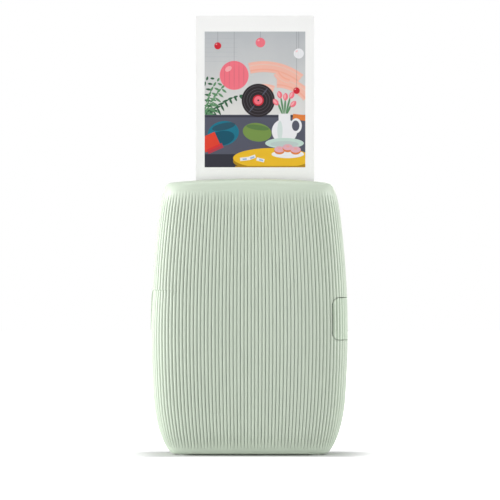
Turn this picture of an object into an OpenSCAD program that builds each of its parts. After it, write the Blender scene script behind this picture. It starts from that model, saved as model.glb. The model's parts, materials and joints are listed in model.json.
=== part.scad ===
/* [Film] */
// Width of a film sheet
sheet_w = 54; // [50:0.5:58]
// Length of a film sheet
sheet_l = 86; // [80:0.5:92]
// Thickness of the sheet that comes out
print_t = 0.4; // [0.3:0.05:0.5]
// Sheets left in the pack
sheets = 9; // [1:1:9]
// Thickness of the film pack
pack_t = 18; // [17:0.5:20]
// Height of the pack above the table
pack_z = 12; // [12:0.5:14]
// Sideways place of the film in the body
film_x = 2.5; // [2:0.25:3]
// Length of the sheet that stands below the crown
print_in = 11.4; // [10.5:0.1:12]
// Gap round the sheet in the slot
slot_gap = 0.7; // [0.5:0.1:0.9]

/* [Body] */
// Room beside the film for gears and casing, on each side
side_room = 18; // [17.5:0.25:21]
// Room from the front face to the pack, for battery and board
front_bay = 14.45; // [14:0.25:17]
// Room from the pack to the back face
rear_gap = 4.85; // [4.6:0.1:6]
// Height from the pack to the nip of the rollers
head_room = 12; // [12:0.25:14]
// Height from the nip to the crown
nip_cover = 9.5; // [9.5:0.25:12]
// Wall thickness of the casing and the door
wall = 1.8; // [1.4:0.1:2]
// Height of the foot pads below the casing
foot_h = 0.5; // [0.3:0.1:1]
// Number of ribs round the front
ribs = 69; // [61:2:79]
// Depth of the valleys between the ribs
rib_d = 0.5; // [0.3:0.05:0.7]

/* [Curves] */
// Height at which the body is widest
belly_z = 56; // [50:1:62]
// How far the sides draw in from the belly to the crown
side_in = 5.83; // [4:0.1:6.5]
// How far the front and back draw in from the belly to the crown
face_in = 3.06; // [2:0.1:3.5]
// Radius of the arched top edge
crown_r = 380; // [340:10:500]
// How much the foot of the sides rounds in
base_in_w = 7.5; // [5:0.5:8]
// How much the foot of the front rounds in
base_in_d = 5; // [3:0.5:6]
// Height of the rounding at the foot of the sides
base_round_w = 26; // [20:1:30]
// Height of the rounding at the foot of the front
base_round_d = 12; // [8:1:14]

/* [Drive] */
// Diameter of the rubber rollers
roller_d = 8; // [7.6:0.1:8.2]
// Diameter of the roller shafts
shaft_d = 3; // [2.6:0.1:3.2]
// Tooth size of the gears
gear_m = 0.5; // [0.5]
// Diameter of the motor
motor_d = 8; // [7:0.1:8]
// Length of the motor
motor_l = 20; // [16:0.5:24]
// Height of the motor below the nip
motor_drop = 21.5; // [20.5:0.25:22]
// Travel of the film claw
claw_travel = 16; // [12:0.5:16]

/* [Controls] */
// Height of the power button
button_h = 19; // [16:0.5:20]
// Travel of the power button
button_travel = 0.8; // [0.5:0.1:1]
// Height of the door latch knob
latch_h = 18; // [14:0.5:19]

/* [Electronics] */
// Width of the battery
battery_w = 34; // [30:1:38]
// Height of the battery
battery_l = 48; // [40:1:50]
// Thickness of the battery
battery_t = 4.6; // [3.5:0.1:5]

/* [Hidden] */

$fn = 48;
run_gap = 0.05;     // running clearance of a shaft in its bore, on the radius
seam = 0.25;        // gap between two casing pieces
loose = 0.4;        // gap round a piece that drops in
sink = 0.01;        // overlap where two shapes of one piece join

// ---- overall sizes, from the film outwards ----
body_w = sheet_w + 2 * side_room;
body_d = front_bay + pack_t + rear_gap;
cassette_z1 = pack_z + sheet_l + 6.5;
nip_z = cassette_z1 + head_room;      // height of the roller nip
body_h = nip_z + nip_cover;

// ---- form of the casing: barrel curves with rounded feet and a superellipse section ----
part_y = body_d / 2 - 10.65;    // plane where the front casing meets the rear frame
front_n = 4;        // squareness of the front half of the section
back_n = 6;         // squareness of the back half
top_in = 2;         // how much the top edge of the sides rounds in
top_round_w = 14;
top_in_d = 3;
top_round_d = 6;
fade_low = 3;       // the ribs start above this height over the foot
fade_run = 4;
fade_top = 6;       // and end this far below the crown
fade_top_run = 8;

function sq(v) = v * v;
function round_in(depth, run, s) = s <= 0 ? 0 : depth * (1 - sqrt(max(0, 1 - sq(min(s, run) / run))));
// The barrel alone, how far the rounded ends draw in from it, and the two together.
function barrel_w(h) = body_w / 2 - side_in * sq((h - belly_z) / (body_h - belly_z));
function barrel_d(h) = body_d / 2 - face_in * sq((h - belly_z) / (body_h - belly_z));
function ends_w(h) = round_in(base_in_w, base_round_w, base_round_w - h)
  + round_in(top_in, top_round_w, h - (body_h - top_round_w));
function ends_d(h) = round_in(base_in_d, base_round_d, base_round_d - h)
  + round_in(top_in_d, top_round_d, h - (body_h - top_round_d));
function half_w(h) = barrel_w(h) - ends_w(h);
function half_d(h) = barrel_d(h) - ends_d(h);
function signed_pow(v, p) = (v < 0 ? -1 : 1) * pow(abs(v), p);
function section(t, n) = [signed_pow(cos(t), 2 / n), signed_pow(sin(t), 2 / n)];
function clamp01(v) = min(1, max(0, v));
function fade(h) = min(clamp01((h - foot_h - fade_low) / fade_run),
  clamp01((body_h - fade_top - h) / fade_top_run));

// The ribs stand at equal distances along the widest section.
fine = [for (t = [180 : 1 : 360]) t];
fine_p = [for (t = fine) [body_w / 2 * section(t, front_n)[0], body_d / 2 * section(t, front_n)[1]]];
function running(p) = [for (i = 0, s = 0; i < len(p);
  s = s + (i + 1 < len(p) ? norm(p[i + 1] - p[i]) : 0), i = i + 1) s];
fine_len = running(fine_p);
across_of = [for (i = [0 : len(fine) - 1]) [fine_len[i], section(fine[i], front_n)[0]]];
deep_of = [for (i = [0 : len(fine) - 1]) [fine_len[i], section(fine[i], front_n)[1]]];
// The point of the unit section that lies share of the way along the front.
function along_front(share) = let (run = fine_len[len(fine_len) - 1] * share)
  [lookup(run, across_of), lookup(run, deep_of)];
rib_steps = 2 * ribs;
plain_steps = 40;
back_steps = 28;

// Heights of the rings: close together in the roundings, wide apart on the barrel.
function ring_heights(low, high) = [for (h = concat(
  [for (a = [0 : 15 : 90]) low + (base_round_w - foot_h) * (1 - cos(a))],
  [for (k = [1 : 4]) base_round_w + (body_h - top_round_w - base_round_w) * k / 4],
  [for (a = [30 : 30 : 90]) body_h - top_round_w + (high - body_h + top_round_w) * sin(a)])) h];

// On the front the ends draw in square to the section, so the ribs run on straight down it. The back
// keeps the shape of its section all the way.
function ring(h, off, depth, steps, from, n) = [for (i = [0 : steps])
  let (s = depth > 0 ? along_front(i / steps) : section(from + 180 * i / steps, n),
    r = -off - depth * fade(h) * (1 - i % 2),
    slope = [signed_pow(s[0], n - 1) / barrel_w(h), signed_pow(s[1], n - 1) / barrel_d(h)],
    out = n == front_n ? slope / norm(slope) : s)
  [(barrel_w(h) + r) * s[0] - ends_w(h) * out[0], (barrel_d(h) + r) * s[1] - ends_d(h) * out[1], h]];

// A solid of stacked rings that closes on the plane y = back_y. Near the top the rings follow the
// arch of the crown, so the cap is a strip of quads that are straight along Y.
function arch(x, h) = x * x / (2 * crown_r) * clamp01((h - body_h + top_round_w) / top_round_w);
module stack(heights, off, depth, steps, from, n, back_y) {
  outline = [for (h = heights)
    [for (p = ring(h, off, depth, steps, from, n)) [p[0], p[1], h - arch(p[0], h)]]];
  m = steps + 1;
  last = len(heights) - 1;
  cap_edge = [for (p = outline[last]) [p[0], back_y, p[2]]];
  low_edge = [for (r = outline) each [[r[0][0], back_y, r[0][2]], [r[steps][0], back_y, r[steps][2]]]];
  edge = (last + 1) * m;          // index of the first point of the cap's straight edge
  low = edge + m;                 // index of the first point of the side edges
  sides = [for (j = [0 : last - 1], i = [0 : m - 2]) let (a = j * m + i)
    each [[a, a + m + 1, a + 1], [a, a + m, a + m + 1]]];
  cap = [for (i = [0 : m - 2]) let (a = last * m + i, b = edge + i) each [[a + 1, a, b], [a + 1, b, b + 1]]];
  function left(j) = j == last ? edge : low + 2 * j;
  function right(j) = j == last ? edge + m - 1 : low + 2 * j + 1;
  ends = [for (j = [0 : last - 1]) each [
    [left(j), left(j + 1), (j + 1) * m], [left(j), (j + 1) * m, j * m],
    [j * m + m - 1, (j + 1) * m + m - 1, right(j + 1)], [j * m + m - 1, right(j + 1), right(j)]]];
  back = [for (j = [0 : last - 2])
    each [[right(j), right(j + 1), left(j + 1)], [right(j), left(j + 1), left(j)]]];
  top_back = [concat([left(last - 1), right(last - 1)], [for (i = [m - 1 : -1 : 0]) edge + i])];
  foot = [concat([left(0)], [for (i = [0 : m - 1]) i], [right(0)])];
  polyhedron(concat([for (r = outline) each r], cap_edge, low_edge),
    concat(sides, cap, ends, back, top_back, foot), convexity = 10);
}

// Everything below the arch of the top edge, off deep inside it.
module under_crown(off) {
  translate([0, 0, body_h - off - crown_r]) rotate([90, 0, 0])
    cylinder(r = crown_r, h = 3 * body_d, center = true, $fn = 200);
}

// The rings that bound the heights from low to high.
function rings_of(off, low, high) = let (all = ring_heights(foot_h + off, body_h - off), end = len(all) - 1)
  [for (i = [0 : end]) if (all[min(end, i + 1)] > low && all[max(0, i - 1)] < high) all[i]];

module front_form(off, depth, low = 0, high = 2 * body_h) {
  stack(rings_of(off, low, high), off, depth, depth > 0 ? rib_steps : plain_steps, 180, front_n, part_y);
}

// A piece of the ribbed skin: the ring steps from first to the end of the front half, one wall thick.
module skin_patch(depth, low, high, first) {
  heights = rings_of(0, low, high);
  strip = [for (h = heights) let (
      outer = ring(h, 0, depth, rib_steps, 180, front_n),
      bare = [for (i = [0 : rib_steps]) let (q = along_front(i / rib_steps))
        [(half_w(h) - wall) * q[0], (half_d(h) - wall) * q[1], h]])
    concat([for (i = [first : rib_steps]) outer[i]], [for (i = [rib_steps : -1 : first]) bare[i]])];
  m = len(strip[0]);
  last = len(strip) - 1;
  skin = [for (j = [0 : last - 1], i = [0 : m - 1]) let (a = j * m + i, b = j * m + (i + 1) % m)
    each [[a, b + m, b], [a, a + m, b + m]]];
  half = m / 2;
  cap = [for (i = [0 : half - 2]) let (a = i, b = m - 1 - i) each [[a, a + 1, b], [a + 1, b - 1, b]]];
  polyhedron([for (r = strip) each r], concat(skin, cap,
    [for (f = cap) [f[2] + last * m, f[1] + last * m, f[0] + last * m]]), convexity = 6);
}

module back_form(off) {
  stack(rings_of(off, 0, 2 * body_h), off, 0, back_steps, 0, back_n, 0);
}

// ---- small helpers ----
module box(low, high) {
  translate(low) cube(high - low);
}
module rod_x(x0, x1, y, z, r) {
  translate([x0, y, z]) rotate([0, 90, 0]) cylinder(r = r, h = x1 - x0);
}
module rod_y(x, y0, y1, z, r) {
  translate([x, y0, z]) rotate([-90, 0, 0]) cylinder(r = r, h = y1 - y0);
}
module rod_z(x, y, z0, z1, r) {
  translate([x, y, z0]) cylinder(r = r, h = z1 - z0);
}
// A prism along Y with rounded corners in the XZ plane.
module round_box_y(low, high, r) {
  box([low[0] + r, low[1], low[2]], [high[0] - r, high[1], high[2]]);
  box([low[0], low[1], low[2] + r], [high[0], high[1], high[2] - r]);
  for (x = [low[0] + r, high[0] - r], z = [low[2] + r, high[2] - r]) rod_y(x, low[1], high[1], z, r);
}
// A round wire swept through a list of points.
module wire(points, r) {
  sides = 8;
  last = len(points) - 1;
  across = [0.3, 1, 0.2];
  rings = [for (i = [0 : last]) let (d = points[min(last, i + 1)] - points[max(0, i - 1)], t = d / norm(d),
    c = cross(t, across), u = c / norm(c), v = cross(t, u))
    [for (k = [0 : sides - 1]) points[i] + r * (cos(360 * k / sides) * u + sin(360 * k / sides) * v)]];
  skin = [for (j = [0 : last - 1], i = [0 : sides - 1])
    let (a = j * sides + i, b = j * sides + (i + 1) % sides)
    each [[a, b + sides, b], [a, a + sides, b + sides]]];
  polyhedron([for (p = rings) each p], concat(skin, [[for (i = [0 : sides - 1]) i]],
    [[for (i = [sides - 1 : -1 : 0]) last * sides + i]]), convexity = 4);
}
// A coil spring that stands on z = 0, of wire 2 * wire_r thick.
module coil(r, length, turns, wire_r) {
  steps = 12 * turns;
  sides = 6;
  rings = [for (i = [0 : steps]) let (a = 30 * i, z = wire_r + (length - 2 * wire_r) * i / steps)
    [for (k = [0 : sides - 1]) let (q = 360 * k / sides)
      [(r + wire_r * cos(q)) * cos(a), (r + wire_r * cos(q)) * sin(a), z + wire_r * sin(q)]]];
  faces = [for (j = [0 : steps - 1], i = [0 : sides - 1])
    let (a = j * sides + i, b = j * sides + (i + 1) % sides)
    each [[a, b, b + sides], [a, b + sides, a + sides]]];
  polyhedron([for (p = rings) each p], concat(faces, [[for (i = [sides - 1 : -1 : 0]) i]],
    [[for (i = [0 : sides - 1]) steps * sides + i]]), convexity = 10);
}

// ---- film path ----
cassette_y0 = front_bay - body_d / 2;
cassette_wall = 1.1;
sheet_gap = 0.3;                      // from the sheet to the pack's front wall and to the next sheet
print_y = cassette_y0 + cassette_wall + sheet_gap + print_t / 2;   // middle of the sheet's thickness
sheet_x0 = film_x - sheet_w / 2;
sheet_x1 = film_x + sheet_w / 2;
print_z = body_h - print_in;          // lower edge of the sheet at rest
cassette_x0 = sheet_x0 - 3.5;
cassette_x1 = sheet_x1 + 3.5;
cassette_y1 = cassette_y0 + pack_t;
cassette_z0 = pack_z;
sheet_z0 = cassette_z0 + 2.6;         // lower edge of the sheets in the pack
sheet_pitch = 0.5;
stack_y0 = print_y + print_t / 2 + sheet_gap;

claw_x0 = sheet_x1 - 2.5;
claw_x1 = sheet_x1 - 0.3;

// ---- film chamber ----
frame_t = 1.2;
chamber_x0 = cassette_x0 - loose - frame_t;
chamber_x1 = cassette_x1 + loose + frame_t;
chamber_y0 = cassette_y0 - loose - frame_t;
chamber_y1 = part_y + 2.6;
chamber_z0 = cassette_z0 - loose - frame_t;
chamber_z1 = cassette_z1 + loose + frame_t;
plate_t = 1.6;
plate_z1 = nip_z + 3.4;
left_plate_x0 = chamber_x0 - plate_t;
right_plate_x1 = chamber_x1;
right_plate_x0 = chamber_x1 - plate_t;

// ---- screws that hold casing, chassis and rear frame together ----
screw_r = 1;
screw_head_r = 1.7;
boss_r = 2.4;
boss_web = 1.6;     // the web that ties a boss to the side wall
lug_t = 1.6;
boss_y = part_y - lug_t;
boss_y0 = 1.6;
flange_t = 1.6;
boss_z = [pack_z + 4, cassette_z1 - 1.5];
function boss_x(z) = half_w(z) - wall - boss_r - 0.2;

// ---- rollers and gears, all turning about axes along X ----
roller_r = roller_d / 2;
nip_gap = 0.05;
roller_off = roller_r + print_t / 2 + nip_gap;
drive_y = print_y - roller_off;
pinch_y = print_y + roller_off;
roller_x0 = sheet_x0 - 2;
roller_x1 = sheet_x1 + 2;
shaft_r = shaft_d / 2;
bush_r = shaft_r + 0.9;
sync_teeth = 17;
idler_teeth = 20;
wheel_teeth = 24;
pinion_teeth = 10;
function pitch_r(teeth) = gear_m * teeth / 2;
sync_m = roller_off * 2 / sync_teeth;   // the two roller gears mesh across the nip
gear_play = 0.05;
gear_w = 1.7;
inner_gear_x1 = left_plate_x0 - 0.3;
inner_gear_x0 = inner_gear_x1 - gear_w;
outer_gear_x1 = inner_gear_x0 - 0.2;
outer_gear_x0 = outer_gear_x1 - gear_w;
motor_y = chamber_y0 - 0.2 - motor_d / 2;
motor_z = nip_z - motor_drop;
drive_p = [drive_y, nip_z];
pinch_p = [pinch_y, nip_z];
motor_p = [motor_y, motor_z];
idler_gap = gear_m * (sync_teeth + idler_teeth) / 2 + gear_play;
idler_p = [drive_y, nip_z - idler_gap];
// The reduction gear meshes with the motor pinion and the idler, so its axis is where two circles cross.
wheel_gap = pitch_r(pinion_teeth) + pitch_r(wheel_teeth) + gear_play;
second_gap = pitch_r(pinion_teeth) + pitch_r(idler_teeth) + gear_play;
function cross_point(a, ra, b, rb) = let (d = norm(b - a), u = (b - a) / d,
  s = (ra * ra - rb * rb + d * d) / (2 * d), h = sqrt(ra * ra - s * s)) a + s * u + h * [u[1], -u[0]];
wheel_p = cross_point(motor_p, wheel_gap, idler_p, second_gap);
function heading(a, b) = atan2(b[1] - a[1], b[0] - a[0]);
// Angle of one tooth of a gear that meshes with a gear whose tooth stands at phase.
function mesh_phase(a, b, phase, ta, tb) = heading(a, b) + 180 + (heading(a, b) - phase) * ta / tb + 180 / tb;
drive_phase = 0;
pinch_phase = mesh_phase(drive_p, pinch_p, drive_phase, sync_teeth, sync_teeth);
idler_phase = mesh_phase(drive_p, idler_p, drive_phase, sync_teeth, idler_teeth);
wheel_phase = mesh_phase(idler_p, wheel_p, idler_phase, idler_teeth, pinion_teeth);
motor_phase = mesh_phase(wheel_p, motor_p, wheel_phase, wheel_teeth, pinion_teeth);
axle_r = 0.8;
motor_shaft_r = 0.75;

// A gear blank with straight-sided teeth, from x0 to x1 about the point p.
module gear(x0, x1, p, teeth, phase, m) {
  r = m * teeth / 2;
  tip = r + 0.9 * m;
  root = r - 1.15 * m;
  half_pitch = 90 / teeth;
  outline = [for (k = [0 : teeth - 1]) let (a = phase + 360 * k / teeth) each [
    root * [cos(a - 1.45 * half_pitch), sin(a - 1.45 * half_pitch)],
    tip * [cos(a - 0.42 * half_pitch), sin(a - 0.42 * half_pitch)],
    tip * [cos(a + 0.42 * half_pitch), sin(a + 0.42 * half_pitch)],
    root * [cos(a + 1.45 * half_pitch), sin(a + 1.45 * half_pitch)]]];
  translate([x0, p[0], p[1]]) rotate([90, 0, 90]) linear_extrude(x1 - x0) polygon(outline);
}

// ---- rear door ----
door_x0 = 6.4 - body_w / 2;
door_x1 = body_w / 2 - 7.4;
door_z0 = pack_z;
door_z1 = nip_z - 4.5;
door_r = 4;         // radius of the door's corners
hinge_x = door_x1 + 1.6;
hinge_gap = 0.7;      // room for the door's edge as it swings past the frame
hinge_r = 1.5;
hinge_y = half_d(belly_z) * pow(1 - pow(hinge_x / half_w(belly_z), back_n), 1 / back_n) - 0.9;
pin_r = 0.75;
knuckle_l = 8;
ear_l = 4;
hinge_z = [belly_z - 18, belly_z + 18];
window_x0 = chamber_x0 - 3.6;
window_x1 = chamber_x1 + 0.6;

// ---- controls ----
button_z = belly_z + 6.2;
button_x0 = half_w(button_z) - 7.15;
button_y1 = -0.5;
button_step = rib_steps - 36;   // the skin of the button starts here, left of its edge
stem_x = button_x0 + 1.4;
function inner_y(x, z) = (half_d(z) - wall) * pow(1 - pow(x / (half_w(z) - wall), front_n), 1 / front_n);
button_r = 3;
latch_z1 = belly_z + 18.9;
latch_z0 = latch_z1 - latch_h;
latch_y0 = 2.2;
latch_y1 = part_y - 0.6;
latch_top_gap = 0.7;
latch_arm_x0 = chamber_x0 - 6.7;
latch_arm_x1 = latch_arm_x0 + 1;
latch_mid_z = latch_z0 + latch_h / 2;
catch_y = body_d / 2 - 5.65;        // where the latch nose holds the lip of the door

// ---- board, battery and socket in front of the film chamber ----
board_t = 1;
board_y1 = chamber_y0 - 1.8;
board_y0 = board_y1 - board_t;
board_x0 = chamber_x0 - 3.4;
board_x1 = claw_x0 - 7;
board_z0 = 4;
board_z1 = motor_z - 9;
ear_x1 = stem_x + 2.3;
stud_p = [for (x = [chamber_x0 + 2.2, board_x1 - 4], z = [chamber_z0 + 3.6, board_z1 - 4]) [x, z]];
port_gap = 0.2;     // from the socket and the reset button to their holes
usb_x = board_x0 + 23.5;
usb_w = 9;
usb_t = 3.2;
usb_l = 7.3;
reset_x = board_x0 + 39;
reset_r = 1.2;
reset_travel = 0.5;
port_y = board_y1 + usb_t / 2;
floor_z = foot_h + wall;
foot_x = body_w / 2 - 15.5;
foot_r = 3;
foot_sink = 0.6;
foot_y = [-7.5, 4];

// ---- casing ----
module button_hole(gap) {
  round_box_y([button_x0 - gap, -body_d, button_z - button_h / 2 - gap],
    [body_w, button_y1 + (gap > 0 ? button_travel + gap : 0), button_z + button_h / 2 + gap], button_r + gap);
}

module latch_hole(gap) {
  box([-body_w, latch_y0 - gap, latch_z0 - gap],
    [latch_arm_x0 - 2, gap > 0 ? part_y + 1 : latch_y1, latch_z1 + (gap > 0 ? latch_top_gap : 0)]);
}

module slot_hole(grow) {
  box([sheet_x0 - slot_gap - grow, print_y - print_t / 2 - slot_gap - grow, nip_z + 5.2],
    [sheet_x1 + slot_gap + grow, print_y + print_t / 2 + slot_gap + grow, body_h + 1]);
}

module front_shell() {
  color([0.77, 0.82, 0.74]) difference() {
    union() {
      difference() {
        front_form(0, rib_d);
        front_form(wall, 0);
      }
      for (z = boss_z, side = [-1, 1]) {
        rod_y(side * boss_x(z), boss_y0, boss_y, z, boss_r);
        translate([side * (boss_x(z) + boss_r), (boss_y0 + boss_y) / 2, z])
          cube([wall, boss_y - boss_y0, boss_web], center = true);
      }
    }
    button_hole(seam);
    latch_hole(seam);
    slot_hole(1.2);
    for (z = boss_z, side = [-1, 1]) rod_y(side * boss_x(z), boss_y0 + 0.4, part_y, z, screw_r);
    for (x = [-foot_x, foot_x], y = foot_y) rod_z(x, y, 0, foot_h + foot_sink, foot_r);
    box([usb_x - usb_w / 2 - port_gap, port_y - usb_t / 2 - port_gap, 0],
      [usb_x + usb_w / 2 + port_gap, port_y + usb_t / 2 + port_gap, floor_z + usb_l]);
    rod_z(reset_x, port_y, 0, floor_z + 1, reset_r + port_gap);
  }
}

module rear_frame() {
  window = [[window_x0, window_x1], [chamber_z0 - 0.8, chamber_z1 + 0.8]];
  color([0.76, 0.81, 0.73]) difference() {
    union() {
      difference() {
        back_skin();
        round_box_y([door_x0 - loose, part_y, door_z0 - loose],
          [door_x1 + hinge_gap, body_d, door_z1 + loose], door_r);
      }
      intersection() {
        back_form(wall - 0.2);
        difference() {
          box([-body_w, part_y + 0.02, 0], [body_w, part_y + flange_t, body_h]);
          box([window[0][0], part_y - 1, window[1][0]], [window[0][1], part_y + 3, window[1][1]]);
        }
      }
      for (z = hinge_z, side = [-1, 1]) {
        rod_z(hinge_x, hinge_y, ear_z(z, side), ear_z(z, side) + ear_l, hinge_r);
        box([hinge_x - 0.6, part_y + 1, ear_z(z, side)], [hinge_x + 0.6, hinge_y, ear_z(z, side) + ear_l]);
      }
    }
    for (z = hinge_z) {
      box([door_x1 + loose - 1, part_y + flange_t + 0.4, z - knuckle_l / 2 - 0.2],
        [hinge_x + hinge_r + 0.4, body_d, z + knuckle_l / 2 + 0.2]);
      rod_z(hinge_x, hinge_y, z - knuckle_l / 2 - ear_l - 1, z + knuckle_l / 2 + ear_l + 1, pin_r);
    }
    for (z = boss_z, side = [-1, 1]) rod_y(side * boss_x(z), part_y - 1, part_y + 3, z, screw_r + 0.2);
    latch_hole(seam);
    box([latch_arm_x0 - 1.4, part_y - 1, latch_mid_z - 6], [window_x0 + 1, part_y + 3, latch_mid_z + 6]);
  }
}
function ear_z(z, side) = z + side * (knuckle_l / 2 + 0.2) - (side < 0 ? ear_l : 0);

// The back of the casing as one skin, cut into frame and door.
module back_skin() {
  difference() {
    back_form(0);
    back_form(wall);
    box([-body_w, -body_d, 0], [body_w, part_y + 0.02, 2 * body_h]);
  }
}

module foot_pads() {
  color([0.85, 0.87, 0.84]) for (x = [-foot_x, foot_x], y = foot_y)
    rod_z(x, y, 0, foot_h + foot_sink, foot_r);
}

module exit_trim() {
  color([0.3, 0.33, 0.3]) difference() {
    intersection() {
      union() {
        slot_hole(1.1);
        box([sheet_x0 - 4, print_y - 4, nip_z + 4.6], [sheet_x1 + 4, print_y + 4, nip_z + 5.6]);
      }
      under_crown(0.6);
    }
    slot_hole(0);
    box([sheet_x0 - slot_gap, print_y - print_t / 2 - slot_gap, nip_z + 4],
      [sheet_x1 + slot_gap, print_y + print_t / 2 + slot_gap, nip_z + 6]);
  }
}

// ---- film door, hinge and latch ----
module film_door() {
  rib_y0 = cassette_y1 + 0.6;
  color([0.76, 0.81, 0.73]) {
    difference() {
      union() {
        intersection() {
          back_skin();
          round_box_y([door_x0, part_y, door_z0], [door_x1, body_d, door_z1], door_r);
        }
        for (z = hinge_z) {
          rod_z(hinge_x, hinge_y, z - knuckle_l / 2, z + knuckle_l / 2, hinge_r);
          box([door_x1 - 1.6, hinge_y - hinge_r, z - knuckle_l / 2],
            [hinge_x, hinge_y + hinge_r - 0.8, z + knuckle_l / 2]);
        }
        intersection() {
          back_form(wall - 0.2);
          union() {
            for (x = [cassette_x0 + 4, film_x, cassette_x1 - 4])
              box([x - 0.8, rib_y0, cassette_z0 + 6], [x + 0.8, body_d, cassette_z1 - 6]);
            catch_lip();
          }
        }
      }
      for (z = hinge_z) rod_z(hinge_x, hinge_y, z - knuckle_l, z + knuckle_l, pin_r + run_gap);
    }
  }
}

// The lip that the latch nose holds when the door is shut.
module catch_lip() {
  x0 = latch_arm_x0 - 1.9;
  box([x0, catch_y - 1.2, latch_mid_z - 4], [x0 + 1, body_d, latch_mid_z + 4]);
  box([x0, catch_y - 1.2, latch_mid_z - 4], [x0 + 1.3, catch_y - 0.3, latch_mid_z + 4]);
}

module hinge_pins() {
  color([0.7, 0.7, 0.72]) for (z = hinge_z)
    rod_z(hinge_x, hinge_y, z - knuckle_l / 2 - ear_l - 0.2, z + knuckle_l / 2 + ear_l + 0.2, pin_r);
}

module door_pads() {
  pad_w = 10;
  pad_end = 20;       // from the end of the pack to the end of a pad
  color([0.2, 0.2, 0.2]) for (x = [cassette_x0 + 12, cassette_x1 - 12])
    box([x - pad_w / 2, cassette_y1 + 0.3, cassette_z0 + pad_end],
      [x + pad_w / 2, half_d(cassette_z1 - pad_end) - wall - 0.3, cassette_z1 - pad_end]);
}

module door_latch() {
  knob_z = [for (k = [0 : 6]) latch_z0 + latch_h * k / 6];
  knob = concat([for (z = knob_z) [0.1 - half_w(z) - (z < latch_z1 - 2 ? 0.3 : 0), z]],
    [for (k = [6 : -1 : 0]) [wall - half_w(knob_z[k]), knob_z[k]]]);
  color([0.74, 0.79, 0.71]) {
    translate([0, latch_y1, 0]) rotate([90, 0, 0]) linear_extrude(latch_y1 - latch_y0) polygon(knob);
    box([wall - 0.6 - half_w(latch_mid_z), 3.4, latch_mid_z - 3], [latch_arm_x1, 6.6, latch_mid_z + 3]);
    box([latch_arm_x0, 3.4, latch_mid_z - 3], [latch_arm_x1, catch_y + 1, latch_mid_z + 3]);
    box([latch_arm_x0 - 0.3, catch_y, latch_mid_z - 3], [latch_arm_x1, catch_y + 1, latch_mid_z + 3]);
  }
}

module latch_spring() {
  length = chamber_x0 - latch_arm_x1 - 0.1;
  color([0.75, 0.75, 0.78]) translate([latch_arm_x1 + 0.05, 5, latch_mid_z])
    rotate([0, 90, 0]) coil(1.4, length, 5, 0.2);
}

module power_button() {
  stem_y = -inner_y(stem_x + 1, button_z);
  color([0.7, 0.78, 0.68]) {
    intersection() {
      skin_patch(rib_d, button_z - button_h / 2, button_z + button_h / 2, button_step);
      button_hole(0);
    }
    box([stem_x - 1, stem_y - 0.6, button_z - 3], [stem_x + 1, board_y0 - 3, button_z + 3]);
  }
}

module reset_button() {
  color([0.6, 0.64, 0.58]) {
    rod_z(reset_x, port_y, foot_h + 0.4, floor_z + 2.6, reset_r);
    rod_z(reset_x, port_y, floor_z + 0.05, floor_z + 0.9, reset_r + 0.8);
  }
}

// ---- film chamber and pack ----
module chassis() {
  lug_hole = screw_r + 0.1;
  color([0.18, 0.18, 0.19]) difference() {
    union() {
      box([chamber_x0, chamber_y0, chamber_z0], [chamber_x1, chamber_y1, chamber_z1]);
      // The left plate carries the motor and the gears, the right plate the other ends of the rollers.
      box([left_plate_x0, motor_y - 3.8, motor_z - 5], [chamber_x0, pinch_y + 4.6, motor_z + 5]);
      box([left_plate_x0, drive_y - bush_r - 0.5, motor_z + 4], [chamber_x0, pinch_y + 4.6, plate_z1]);
      box([right_plate_x0, drive_y - bush_r - 0.5, chamber_z1 - 0.5],
        [right_plate_x1, pinch_y + 4.6, plate_z1]);
      for (z = boss_z) {
        box([-boss_x(z) - 1.6, part_y - lug_t, z - 2.4], [chamber_x0 + sink, part_y, z + 2.4]);
        box([chamber_x1 - sink, part_y - lug_t, z - 2.4], [boss_x(z) + 1.6, part_y, z + 2.4]);
      }
      for (p = stud_p) rod_y(p[0], board_y1, chamber_y0 + 0.1, p[1], 2);
    }
    box([cassette_x0 - loose, cassette_y0 - loose, cassette_z0 - loose],
      [cassette_x1 + loose, chamber_y1 + 1, cassette_z1 + loose]);
    box([sheet_x0 - 1, print_y - 1.1, cassette_z1], [sheet_x1 + 1, print_y + 1.1, chamber_z1 + 1]);
    claw_slot(chamber_y0 - 1, cassette_y0);
    for (p = [drive_p, pinch_p]) rod_x(left_plate_x0 - 1, right_plate_x1 + 1, p[0], p[1], bush_r);
    for (p = [idler_p, wheel_p])
      rod_x(left_plate_x0 - 1, chamber_x0 + (p == wheel_p ? 0 : 1), p[0], p[1], axle_r);
    rod_x(left_plate_x0 - 1, chamber_x0 + 1, motor_y, motor_z, motor_shaft_r + 0.6);
    for (z = boss_z, side = [-1, 1]) rod_y(side * boss_x(z), boss_y - 1, part_y + 1, z, lug_hole);
    for (p = stud_p) rod_y(p[0], board_y0, chamber_y0 + 0.6, p[1], 0.7);
  }
}

module claw_slot(y0, y1) {
  box([claw_x0 - 0.4, y0, cassette_z0 + cassette_wall - 0.2],
    [claw_x1 + 0.4, y1 + 0.01, sheet_z0 + claw_travel + 0.6]);
}

module case_screws() {
  color([0.55, 0.55, 0.58]) for (z = boss_z, side = [-1, 1]) {
    rod_y(side * boss_x(z), 2.4, part_y + flange_t, z, screw_r);
    rod_y(side * boss_x(z), part_y + flange_t, part_y + flange_t + 1, z, screw_head_r);
  }
}

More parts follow.
